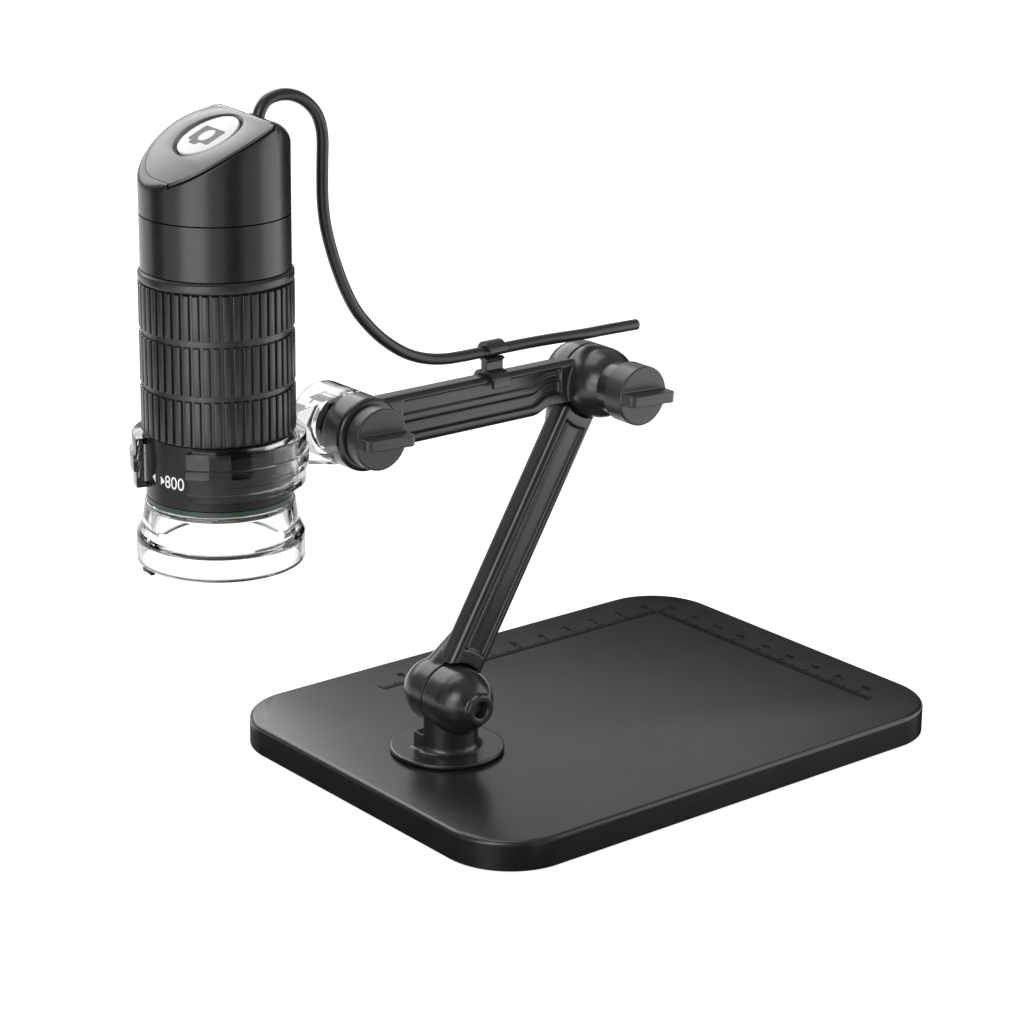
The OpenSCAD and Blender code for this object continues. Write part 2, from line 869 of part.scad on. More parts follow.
module face_plate() {
    color("#8c8c8e") difference() {
        at_top() intersection() {
            translate([0, 0, cap_z]) linear_extrude(through) plate_plan(-0.04);
            plate_layer(0, plate_t - 0.04);
            translate([0, 0, cap_z]) cylinder(r = housing_r - plate_back, h = through);
        }
        at_top() difference() {
            plate_layer(plate_rim, plate_t + 1);
            translate([0, 0, cap_z - 1]) cylinder(r = housing_r - rim_in, h = through);
        }
        at_button() {
            translate([0, 0, -8]) cylinder(r = button_r + move_gap, h = 12);
            translate([0, 0, -1]) cylinder(r1 = button_r + move_gap, r2 = button_r + 3.1, h = 2);
        }
    }
}

module snapshot_button() {
    color("white") at_button() {
        translate([0, 0, -button_sink - button_t]) cylinder(r = button_r, h = button_t);
        translate([0, 0, -stem_end]) cylinder(r = stem_r, h = stem_end - button_sink - 0.5);
    }
}

module button_board() {
    color("#1f4a2c") at_button()
        translate([-5, -8, -board_drop - 1.2]) cube([10, 16, 1.2]);
}

module tact_switch() {
    color("#b9bcbe") at_button()
        translate([-3, -3, 0.02 - board_drop]) cube([6, 6, switch_t - 0.02]);
}

module main_board() {
    color("#1f4a2c") at_head() difference() {
        translate([0, 0, board_z]) cylinder(r = housing_r - wall - 0.4, h = 1.2);
        at_board_screws() translate([0, 0, board_z - 1]) cylinder(r = 1.1, h = 4);
    }
}

module board_screws() {
    color("silver") at_head() at_board_screws() {
        translate([0, 0, board_z + 1.22]) cylinder(r = 1.7, h = 1);
        translate([0, 0, mid_z + 4.5]) cylinder(r = 0.9, h = board_z - mid_z - 3);
    }
}

module image_sensor() {
    color("#202428") at_head() translate([-4.5, -4.5, board_z - 1.62]) cube([9, 9, 1.6]);
}

module cable_gland() {
    color("#1c1c1d") at_gland() difference() {
        union() {
            translate([0, 0, -4.5]) cylinder(r = gland_r, h = 4.3);
            translate([0, 0, -0.5]) cylinder(r1 = gland_r, r2 = gland_r - 0.4, h = 0.8);
        }
        translate([0, 0, -6]) cylinder(r = cord_r + 0.25, h = 9);
    }
}

// Focus drive

module inner_tube() {
    color("#2c2c2e") at_head() difference() {
        tube(tube_r, tube_bore, barrel_z + 1.6, tube_top - barrel_z - 1.6);
        translate([0, -1.5, pin_z - focus_travel - 1.6]) cube([20, 3, 2 * focus_travel + 3.2]);
    }
}

// Ribbed sleeve: a smooth collar, then three rows of ribs, with a helical groove in its bore
module focus_ring() {
    body_r = focus_r - 0.7;
    rows = [[0.2, 10.7], [12.3, 11.5], [25.4, 10.6]];
    color("#38383a") at_head() difference() {
        translate([0, 0, focus_z]) {
            cylinder(r = body_r, h = focus_h);
            for (row = rows) translate([0, 0, row[0]]) linear_extrude(row[1]) rib_ring(body_r);
            translate([0, 0, focus_h - 2.9]) cylinder(r1 = body_r, r2 = focus_r, h = 0.7);
            translate([0, 0, focus_h - 2.2]) cylinder(r = focus_r, h = 1.6);
            translate([0, 0, focus_h - 0.6]) cylinder(r1 = focus_r, r2 = focus_r - 0.6, h = 0.6);
        }
        translate([0, 0, focus_z - 1]) cylinder(r = tube_r + play, h = focus_h + 2);
        for (i = [-groove_steps / 2 : groove_steps / 2])
            rotate([0, 0, -2 * focus_turn * i / groove_steps])
                translate([tube_r - 1, 0, pin_z + 2 * focus_travel * i / groove_steps])
                    rotate([0, 90, 0]) cylinder(r = 1.65, h = 2.9, $fn = 32);
    }
}

// One row of flat ribs around a sleeve
module rib_ring(r) {
    pitch = 360 / rib_count;
    rib_w = 2 * PI * focus_r / rib_count * 0.66;
    for (i = [0 : rib_count - 1])
        rotate(i * pitch + rib_phase) translate([r - 0.4, -rib_w / 2]) square([focus_r - r + 0.4, rib_w]);
}

module lens_carriage() {
    cell_r = 7.6;
    color("#2c2c2e") at_head() difference() {
        union() {
            tube(tube_bore - play, 11.4, carriage_z, carriage_h);
            translate([0, 0, pin_z - 1.8]) cylinder(r = 11.6, h = 3.6);
            translate([0, 0, carriage_z + 1]) cylinder(r = cell_r, h = carriage_h - 2);
        }
        translate([0, 0, carriage_z - 1]) cylinder(r = 4.4, h = carriage_h + 2);
        translate([0, 0, carriage_z - 1]) cylinder(r = 6 + slack, h = 4.8);
        translate([0, 0, carriage_z + carriage_h - 4]) cylinder(r = 5.2 + slack, h = 5);
        translate([12, 0, pin_z]) rotate([0, 90, 0]) cylinder(r = 1.2 + slack, h = 3);
    }
}

module drive_pin() {
    color("silver") at_head() translate([12.05, 0, pin_z]) rotate([0, 90, 0]) cylinder(r = 1.2, h = 4.2);
}

module front_lens() {
    color("#cfe0ea", 0.5) at_head() translate([0, 0, carriage_z + 1.4]) cylinder(r = 6, h = 2.3);
}

module rear_lens() {
    color("#cfe0ea", 0.5) at_head()
        translate([0, 0, carriage_z + carriage_h - 3.9]) cylinder(r = 5.2, h = 1.8);
}

// Front of the microscope

module front_barrel() {
    color("#222224") at_head() {
        tube(barrel_r, tube_r + slack, barrel_z + 1.4, barrel_h - 1.4);
        tube(barrel_r, 9, barrel_z, 1.5);
    }
}

module led_board() {
    color("#173d26") at_head() tube(barrel_r + 0.05, 8.4, led_z, led_t);
}

module leds() {
    color("#f2f0e2") at_head() for (i = [0 : 7]) rotate([0, 0, 22.5 + 45 * i]) {
        translate([led_circle - led_w / 2, -led_w / 2, led_z - 0.72]) cube([led_w, led_w, 0.7]);
        translate([led_circle, 0, led_z - 0.92]) cylinder(r = led_w / 2 - 0.3, h = 0.4, $fn = 32);
    }
}

// Clear shade: neck, shoulder, skirt and a small tab under the rim
module clear_shade() {
    neck = shade_r - 2.3;
    skirt = 6.8;
    thick = 1.3;
    color("#dfe9ee", 0.45) at_head() {
        rotate_extrude() polygon([
            [neck, shade_h], [neck + 0.1, shade_h - 0.4], [neck + 0.8, skirt + 3], [shade_r - 0.05, skirt],
            [shade_r, 0.6], [shade_r - 0.35, 0], [shade_r - thick - 0.3, 0], [shade_r - thick, 0.6],
            [shade_r - thick, skirt - 0.3], [neck + 0.8 - thick, skirt + 2.8],
            [neck - thick + 0.1, shade_h - 1.4], [14.2, shade_h - 1.4], [14.2, shade_h]
        ]);
        rotate([0, 0, 180 + top_turn]) translate([shade_r - 1.2, -1.7, -1]) cube([1, 3.4, 1.4]);
    }
}

// USB lead

// Smooth curve through the route: part t of the stretch after point i
function route_at(i) = cord_route[min(max(i, 0), len(cord_route) - 1)];
function curve(i, t) =
    let (a = route_at(i - 1), b = route_at(i), c = route_at(i + 1), d = route_at(i + 2))
    0.5 * (2 * b + (c - a) * t + (2 * a - 5 * b + 4 * c - d) * t * t + (3 * b - a - 3 * c + d) * t * t * t);
function unit(v) = v / norm(v);

module usb_cable() {
    line = [
        for (i = [0 : len(cord_route) - 2]) for (t = [0, 0.5]) curve(i, t),
        cord_route[len(cord_route) - 1]
    ];
    rings = len(line);
    points = [
        for (i = [0 : rings - 1])
            let (dir = unit(line[min(i + 1, rings - 1)] - line[max(i - 1, 0)]))
            let (side = unit(cross(dir, [0, 1, 0])), across = cross(side, dir))
            for (k = [0 : cord_sides - 1])
                let (a = 360 * k / cord_sides)
                line[i] + cord_r * (cos(a) * side + sin(a) * across)
    ];
    sides = [
        for (i = [0 : rings - 2]) for (k = [0 : cord_sides - 1])
            let (n = (k + 1) % cord_sides, a = i * cord_sides, b = a + cord_sides)
            [a + k, b + k, b + n, a + n]
    ];
    ends = [
        [for (k = [0 : cord_sides - 1]) k],
        [for (k = [0 : cord_sides - 1]) rings * cord_sides - 1 - k]
    ];
    color("#242425") polyhedron(points, concat(sides, ends));
}

base_shell();
base_weight();
base_cover();
base_pad();
base_screws();
swivel_post();
swivel_screw();
swivel_washer();
base_pivot_bolt();
base_friction_washer();
lower_arm();
elbow_bolt();
elbow_washer();
upper_arm();
head_washer();
cable_clip();
elbow_knob();
head_knob();
clamp_ring();
head_bolt();
rear_cap();
mid_housing();
face_plate();
snapshot_button();
button_board();
tact_switch();
main_board();
board_screws();
image_sensor();
inner_tube();
focus_ring();
lens_carriage();
drive_pin();
front_lens();
rear_lens();
front_barrel();
led_board();
leds();
clear_shade();
cable_gland();
usb_cable();
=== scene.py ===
"""Looks of a USB microscope on an arm stand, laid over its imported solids."""

import json
import logging
import math
from collections.abc import Callable, Iterator, Sequence
from contextlib import contextmanager
from dataclasses import dataclass
from enum import Enum

import bmesh
import bpy
from mathutils import Matrix, Vector

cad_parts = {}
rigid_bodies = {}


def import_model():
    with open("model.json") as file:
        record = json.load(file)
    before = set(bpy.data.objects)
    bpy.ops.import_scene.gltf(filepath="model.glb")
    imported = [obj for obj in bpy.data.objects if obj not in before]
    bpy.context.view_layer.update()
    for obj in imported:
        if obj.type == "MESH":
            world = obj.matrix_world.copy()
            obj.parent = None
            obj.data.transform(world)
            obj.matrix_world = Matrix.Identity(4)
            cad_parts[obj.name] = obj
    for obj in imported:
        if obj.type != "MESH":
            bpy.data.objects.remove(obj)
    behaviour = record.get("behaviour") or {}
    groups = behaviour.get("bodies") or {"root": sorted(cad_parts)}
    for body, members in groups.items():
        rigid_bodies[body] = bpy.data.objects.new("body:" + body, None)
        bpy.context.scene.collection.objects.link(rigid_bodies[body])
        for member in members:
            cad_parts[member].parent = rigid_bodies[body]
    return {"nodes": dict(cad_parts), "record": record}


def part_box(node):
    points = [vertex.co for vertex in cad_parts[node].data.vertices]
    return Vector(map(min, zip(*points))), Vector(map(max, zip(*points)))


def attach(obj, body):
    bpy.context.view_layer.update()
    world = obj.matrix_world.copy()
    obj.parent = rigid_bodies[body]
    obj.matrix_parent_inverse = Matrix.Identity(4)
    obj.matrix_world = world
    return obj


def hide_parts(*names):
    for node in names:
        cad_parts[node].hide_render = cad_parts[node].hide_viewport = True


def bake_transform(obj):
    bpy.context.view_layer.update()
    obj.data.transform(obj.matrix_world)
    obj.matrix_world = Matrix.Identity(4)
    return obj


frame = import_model()

MM = 0.001
WELD = 2e-6
FLAT = math.radians(0.4)
FACING = 0.9
RELAX = 0.5
BEVEL_STEPS = 2
BEVEL_SMOOTH = 42.0
ROUND_STEPS = 3
NOISE_RANGE = (0.3, 0.7)
MORTAR = 0.06
BRICK_TURN = 45.0
MIX_A, MIX_B, MIX_RESULT = 6, 7, 2
log = logging.getLogger("microscope")

Colour = tuple[float, float, float]
Point = tuple[float, float, float]
Pair = tuple[float, float]
Piece = bpy.types.Object
Socket = bpy.types.NodeSocket
Feed = Socket | float | Sequence[float]
Inputs = dict[str | int, Feed]
Choice = Callable[[Vector, Vector, float], bool]
UNTINTED: Colour = (1.0, 1.0, 1.0)


class Edge(Enum):
    """How the edges of a moulded copy are finished."""

    CRISP = "smooth faces between sharp edges"
    BROKEN = "a small bevel on each sharp edge"
    FLOWING = "moulded fillets inside and out"


def hold(piece: Piece) -> None:
    """Make one piece the only selected and active one.

    Args:
        piece: The piece.
    """
    bpy.ops.object.select_all(action="DESELECT")
    piece.select_set(True)
    bpy.context.view_layer.objects.active = piece


def link(name: str, data: bpy.types.ID) -> Piece:
    """Put data into the scene as a new object.

    Args:
        name: The object's name.
        data: Its mesh, curve, lamp or camera.

    Returns:
        The object, at the origin.
    """
    piece = bpy.data.objects.new(name, data)
    bpy.context.scene.collection.objects.link(piece)
    return piece


def added(name: str) -> Piece:
    """Name the object that an operator just made.

    Args:
        name: The name for it and its mesh.

    Returns:
        The object.
    """
    piece = bpy.context.active_object
    piece.name = name
    piece.data.name = name
    return piece


def cube(name: str) -> Piece:
    """Add a cube with sides of 1 m round the origin."""
    bpy.ops.mesh.primitive_cube_add(size=1.0)
    return added(name)


@contextmanager
def editing(piece: Piece) -> Iterator[None]:
    """Hold a piece in edit mode, with all of it selected at first.

    Args:
        piece: The piece.

    Returns:
        A context that goes back to object mode at its end.
    """
    hold(piece)
    bpy.ops.object.mode_set(mode="EDIT")
    bpy.ops.mesh.select_all(action="SELECT")
    yield
    bpy.ops.object.mode_set(mode="OBJECT")


def weld(piece: Piece) -> None:
    """Merge a piece's doubled points and turn its faces outwards.

    Args:
        piece: The piece.
    """
    with editing(piece):
        bpy.ops.mesh.remove_doubles(threshold=WELD)
        bpy.ops.mesh.normals_make_consistent(inside=False)


def apply_all(piece: Piece) -> None:
    """Apply every modifier of a piece, in order.

    Args:
        piece: The piece.
    """
    hold(piece)
    for modifier in list(piece.modifiers):
        bpy.ops.object.modifier_apply(modifier=modifier.name)


def copy_node(node: str) -> Piece:
    """Copy a CAD node's mesh into a new piece and merge its loose triangles.

    Args:
        node: The CAD node's name.

    Returns:
        The new piece, at the origin, with its place in its mesh.
    """
    piece = link(f"{node}_skin", frame["nodes"][node].data.copy())
    hold(piece)
    bpy.ops.mesh.customdata_custom_splitnormals_clear()
    with editing(piece):
        bpy.ops.mesh.remove_doubles(threshold=WELD)
    return piece


def smooth(piece: Piece, degrees: float) -> None:
    """Shade a piece smooth where its faces meet below an angle."""
    hold(piece)
    bpy.ops.object.shade_smooth_by_angle(angle=math.radians(degrees))


def soften(piece: Piece, voxel: float, passes: int) -> None:
    """Give a piece moulded fillets by a fine skin that is then relaxed.

    Args:
        piece: The merged copy of a solid.
        voxel: The skin's cell, in metres.
        passes: How often the skin is relaxed.
    """
    skin = piece.modifiers.new("skin", "REMESH")
    skin.mode = "VOXEL"
    skin.voxel_size = voxel
    skin.use_smooth_shade = True
    relax = piece.modifiers.new("relax", "SMOOTH")
    relax.factor = RELAX
    relax.iterations = passes
    apply_all(piece)
    bpy.ops.object.shade_smooth()


def break_edges(piece: Piece, width: float, degrees: float) -> None:
    """Bevel a piece's sharp edges.

    Args:
        piece: The merged copy of a solid.
        width: The bevel's width, in metres.
        degrees: The angle from which an edge counts as sharp.
    """
    with editing(piece):
        bpy.ops.mesh.dissolve_limited(angle_limit=FLAT)
    bevel = piece.modifiers.new("edge", "BEVEL")
    bevel.width = width
    bevel.segments = BEVEL_STEPS
    bevel.limit_method = "ANGLE"
    bevel.angle_limit = math.radians(degrees)
    apply_all(piece)
    smooth(piece, BEVEL_SMOOTH)


def round_edges(piece: Piece, width: float, wanted: Choice) -> None:
    """Round chosen edges of a piece.

    Args:
        piece: The merged copy of a solid.
        width: The width of the rounding, in metres.
        wanted: Takes an edge's ends and its angle in degrees and tells whether it is rounded.
    """
    with editing(piece):
        bpy.ops.mesh.dissolve_limited(angle_limit=FLAT)
        bpy.ops.mesh.select_mode(type="EDGE")
        bpy.ops.mesh.select_all(action="DESELECT")
        for edge in bmesh.from_edit_mesh(piece.data).edges:
            a, b = (v.co for v in edge.verts)
            turn = math.degrees(edge.calc_face_angle_signed(0.0))
            if len(edge.link_faces) == 2 and wanted(a, b, turn):
                edge.select_set(True)
        bmesh.update_edit_mesh(piece.data)
        bpy.ops.mesh.bevel(offset=width, segments=ROUND_STEPS, affect="EDGES")


def pick_faces(piece: Piece, wanted: Callable[[Vector, Vector], bool]) -> None:
    """Select faces in edit mode by their centre and normal.

    Args:
        piece: The piece in edit mode.
        wanted: Takes a face's centre and normal and tells whether it is picked.
    """
    bpy.ops.mesh.select_mode(type="FACE")
    bpy.ops.mesh.select_all(action="DESELECT")
    for face in bmesh.from_edit_mesh(piece.data).faces:
        if wanted(face.calc_center_median(), face.normal):
            face.select_set(True)
    bmesh.update_edit_mesh(piece.data)


def join(pieces: Sequence[Piece], name: str) -> Piece:
    """Join pieces into the first.

    Args:
        pieces: The pieces.
        name: The name of the result.

    Returns:
        The joined piece.
    """
    hold(pieces[0])
    for piece in pieces[1:]:
        piece.select_set(True)
    bpy.ops.object.join()
    return added(name)


def lettering(body: str, size: float, extrude: float, bevel: float = 0.0) -> Piece:
    """Set a number in type, flat and centred on the origin.

    Args:
        body: The number.
        size: The size of the type, in metres.
        extrude: How far it stands out to either side, in metres.
        bevel: The bevel of its edges, in metres.

    Returns:
        The number as a mesh.
    """
    bpy.ops.object.text_add()
    text = bpy.context.active_object.data
    text.body, text.size = body, size
    text.align_x = text.align_y = "CENTER"
    text.extrude, text.bevel_depth = extrude, bevel
    bpy.ops.object.convert(target="MESH")
    return added(f"number_{body}")


def draw(curve: bpy.types.Curve, lines: Sequence[Sequence[Point]], closed: bool) -> Piece:
    """Lay lines into a curve and turn it into a mesh.

    Args:
        curve: The empty curve, which has the piece's name.
        lines: The points of each line, in metres.
        closed: Whether each line ends where it starts.

    Returns:
        The piece.
    """
    name = curve.name
    for line in lines:
        spline = curve.splines.new("POLY")
        spline.points.add(len(line) - 1)
        spline.use_cyclic_u = closed
        for knot, at in zip(spline.points, line):
            knot.co = (*at, 1.0)
    hold(link(name, curve))
    bpy.ops.object.convert(target="MESH")
    return added(name)


class NodeBench:
    """Lays the nodes of one material, in Object coordinates."""

    def __init__(self, name: str) -> None:
        """Start a material without nodes.

        Args:
            name: The material's name.
        """
        self.material = bpy.data.materials.new(name)
        self.material.use_nodes = True
        self.tree = self.material.node_tree
        self.tree.nodes.clear()

    def add(self, kind: str, inputs: Inputs | None = None, **settings: str) -> bpy.types.Node:
        """Add a node.

        Args:
            kind: The node's type, without the first part that all types share.
            inputs: For each input a constant or the socket that feeds it.
            settings: The node's own settings.

        Returns:
            The node.
        """
        node = self.tree.nodes.new(f"ShaderNode{kind}")
        for setting, value in settings.items():
            setattr(node, setting, value)
        for key, value in (inputs or {}).items():
            if isinstance(value, Socket):
                self.tree.links.new(value, node.inputs[key])
            else:
                node.inputs[key].default_value = value
        return node

    def show(self, shader: bpy.types.Node) -> bpy.types.Material:
        """Let the surface show a shader and return the material."""
        self.add("OutputMaterial", {"Surface": shader.outputs[0]})
        return self.material

    def place(self) -> Socket:
        """The piece's own coordinates."""
        return self.add("TexCoord").outputs["Object"]

    def stretch(self, scale: Point = (1.0, 1.0, 1.0), turn: float = 0.0) -> Socket:
        """Object coordinates, scaled along each axis and turned about Z by degrees."""
        inputs = {"Scale": scale, "Rotation": (0.0, 0.0, math.radians(turn)), "Vector": self.place()}
        return self.add("Mapping", inputs).outputs["Vector"]

    def noise(self, scale: float, detail: float = 3.0, at: Socket | None = None) -> Socket:
        """Cloudy noise with so many cells a metre and so many octaves of finer noise."""
        inputs = {"Scale": scale, "Detail": detail, "Vector": at or self.place()}
        return self.add("TexNoise", inputs).outputs["Fac"]

    def bricks(self, scale: float) -> Socket:
        """Slanting rows of blocks, about so many a metre, high on the lines between them."""
        inputs = {"Scale": scale, "Mortar Size": MORTAR, "Vector": self.stretch(turn=BRICK_TURN)}
        return self.add("TexBrick", inputs).outputs["Fac"]

    def ramp(self, source: Socket, low: Colour, high: Colour, reach: Pair = (0.0, 1.0)) -> Socket:
        """Turn a value into a colour between two.

        Args:
            source: The value.
            low: The colour at the low end.
            high: The colour at the high end.
            reach: The values where the change begins and where it is complete.

        Returns:
            The colour.
        """
        node = self.add("ValToRGB", {"Fac": source})
        for stop, at, colour in zip(node.color_ramp.elements, reach, (low, high)):
            stop.position, stop.color = at, (*colour, 1.0)
        return node.outputs["Color"]

    def spread(self, source: Socket, start: Pair, end: Pair = (0.0, 1.0)) -> Socket:
        """Move a value from one range of numbers to another."""
        ends = dict(zip(("From Min", "From Max", "To Min", "To Max"), (*start, *end)))
        return self.add("MapRange", {"Value": source, **ends}).outputs["Result"]

    def uneven(self, scale: float, low: float, high: float) -> Socket:
        """A number that wanders between two, with so many cells a metre."""
        return self.spread(self.noise(scale), NOISE_RANGE, (low, high))

    def along(self, axis: str, ends: Pair) -> Socket:
        """How far a point lies between two places on an axis, from 0 to 1."""
        return self.spread(self.add("SeparateXYZ", {"Vector": self.place()}).outputs[axis], ends)

    def edge_on(self) -> Socket:
        """How far a surface turns away from the ray that meets it, from 0 to 1."""
        return self.add("LayerWeight").outputs["Facing"]

    def times(self, first: Socket, second: Socket) -> Socket:
        """The product of two colours."""
        inputs = {"Factor": 1.0, MIX_A: first, MIX_B: second}
        return self.add("Mix", inputs, data_type="RGBA", blend_type="MULTIPLY").outputs[MIX_RESULT]

    def relief(self, height: Socket, strength: float, depth: float) -> Socket:
        """Normals for a height: how much of it shows and its full depth, in metres."""
        return self.add("Bump", {"Strength": strength, "Distance": depth, "Height": height}).outputs["Normal"]


@dataclass(frozen=True)
class Moulded:
    """Plastic, resin or rubber: faint colour clouds, uneven gloss and a fine grain or a diamond tread."""

    name: str
    dark: Colour
    light: Colour
    rough: float
    gloss: float = 0.35
    grain: float = 3200.0
    relief: float = 0.025
    depth: float = 0.06 * MM
    tread: float = 0.0
    clouds: float = 70.0
    cloud_detail: float = 4.0
    cloud_reach: Pair = (0.35, 0.68)
    patches: float = 260.0
    uneven: Pair = (-0.012, 0.016)
    inside: float = 0.0
    inside_reach: Point = (MM, 0.8 * MM, 0.4 * MM)

    def material(self) -> bpy.types.Material:
        """Lay the nodes of this finish.

        Returns:
            The material.
        """
        bench = NodeBench(self.name)
        clouds = bench.noise(self.clouds, self.cloud_detail)
        low, high = (self.rough + change for change in self.uneven)
        height = bench.bricks(1.0 / self.tread) if self.tread else bench.noise(self.grain, 1.0)
        return bench.show(bench.add("BsdfPrincipled", {
            "Base Color": bench.ramp(clouds, self.dark, self.light, self.cloud_reach),
            "Roughness": bench.uneven(self.patches, low, high),
            "Normal": bench.relief(height, self.relief, self.depth),
            "Specular IOR Level": self.gloss,
            "Subsurface Weight": self.inside,
            "Subsurface Radius": self.inside_reach,
        }))


@dataclass(frozen=True)
class Clear:
    """Clear plastic or glass with faint flow marks, painted shade where a surface is seen edge on and, where
    set, a darkening towards one end.
    """

    name: str
    tint: Colour
    deep: Colour
    rough: float
    bend: float
    # Painted shade: the colour clear parts take where a surface is seen edge on, standing in for dark
    # surroundings seen in and through them.
    rim: Colour = (0.9, 0.9, 0.9)
    rim_reach: Pair = (0.7, 0.97)
    # A darkening towards one end along an axis: on the shade it is painted shade, a dark line along its foot;
    # on the ring it makes the ring darker towards its end away from the arm.
    smoke: Colour = UNTINTED
    smoke_axis: str = "X"
    smoke_ends: Pair = (0.0, 1.0)
    flow: float = 45.0
    flow_detail: float = 2.0
    flow_reach: Pair = (0.3, 0.6)
    patches: float = 180.0
    uneven: Pair = (0.6, 1.5)

    def material(self) -> bpy.types.Material:
        """Lay the nodes of this clear finish.

        Returns:
            The material.
        """
        bench = NodeBench(self.name)
        flow = bench.ramp(bench.noise(self.flow, self.flow_detail), self.deep, self.tint, self.flow_reach)
        # Painted shade: darker where the surface is seen edge on.
        edge = bench.ramp(bench.edge_on(), UNTINTED, self.rim, self.rim_reach)
        # Darkening towards one end; on the shade this is painted shade along its foot.
        smoke = bench.ramp(bench.along(self.smoke_axis, self.smoke_ends), self.smoke, UNTINTED)
        low, high = (self.rough * share for share in self.uneven)
        return bench.show(bench.add("BsdfPrincipled", {
            "Base Color": bench.times(bench.times(flow, edge), smoke),
            "Roughness": bench.uneven(self.patches, low, high),
            "Transmission Weight": 1.0,
            "IOR": self.bend,
        }))


@dataclass(frozen=True)
class Metal:
    """Turned or rolled metal with fine streaks."""

    name: str
    dark: Colour
    light: Colour
    rough: float
    streak: Point = (1.0, 1.0, 12.0)
    grain: float = 900.0
    streak_reach: Pair = (0.3, 0.7)
    uneven: Pair = (-0.06, 0.08)
    relief: float = 0.05
    depth: float = 0.04 * MM

    def material(self) -> bpy.types.Material:
        """Lay the nodes of this metal.

        Returns:
            The material.
        """
        bench = NodeBench(self.name)
        streaks = bench.noise(self.grain, at=bench.stretch(self.streak))
        low, high = (self.rough + change for change in self.uneven)
        return bench.show(bench.add("BsdfPrincipled", {
            "Base Color": bench.ramp(streaks, self.dark, self.light, self.streak_reach),
            "Roughness": bench.spread(streaks, NOISE_RANGE, (low, high)),
            "Normal": bench.relief(streaks, self.relief, self.depth),
            "Metallic": 1.0,
        }))


@dataclass(frozen=True)
class Board:
    """Solder mask over printed tracks."""

    name: str
    mask: Colour
    track: Colour
    rows: float = 420.0
    track_reach: Pair = (0.2, 0.8)
    patches: float = 500.0
    rough: Pair = (0.3, 0.42)
    relief: float = 0.2
    depth: float = 0.05 * MM
    gloss: float = 0.5

    def material(self) -> bpy.types.Material:
        """Lay the nodes of this circuit board.

        Returns:
            The material.
        """
        bench = NodeBench(self.name)
        tracks = bench.bricks(self.rows)
        return bench.show(bench.add("BsdfPrincipled", {
            "Base Color": bench.ramp(tracks, self.mask, self.track, self.track_reach),
            "Roughness": bench.uneven(self.patches, *self.rough),
            "Normal": bench.relief(tracks, self.relief, self.depth),
            "Specular IOR Level": self.gloss,
        }))


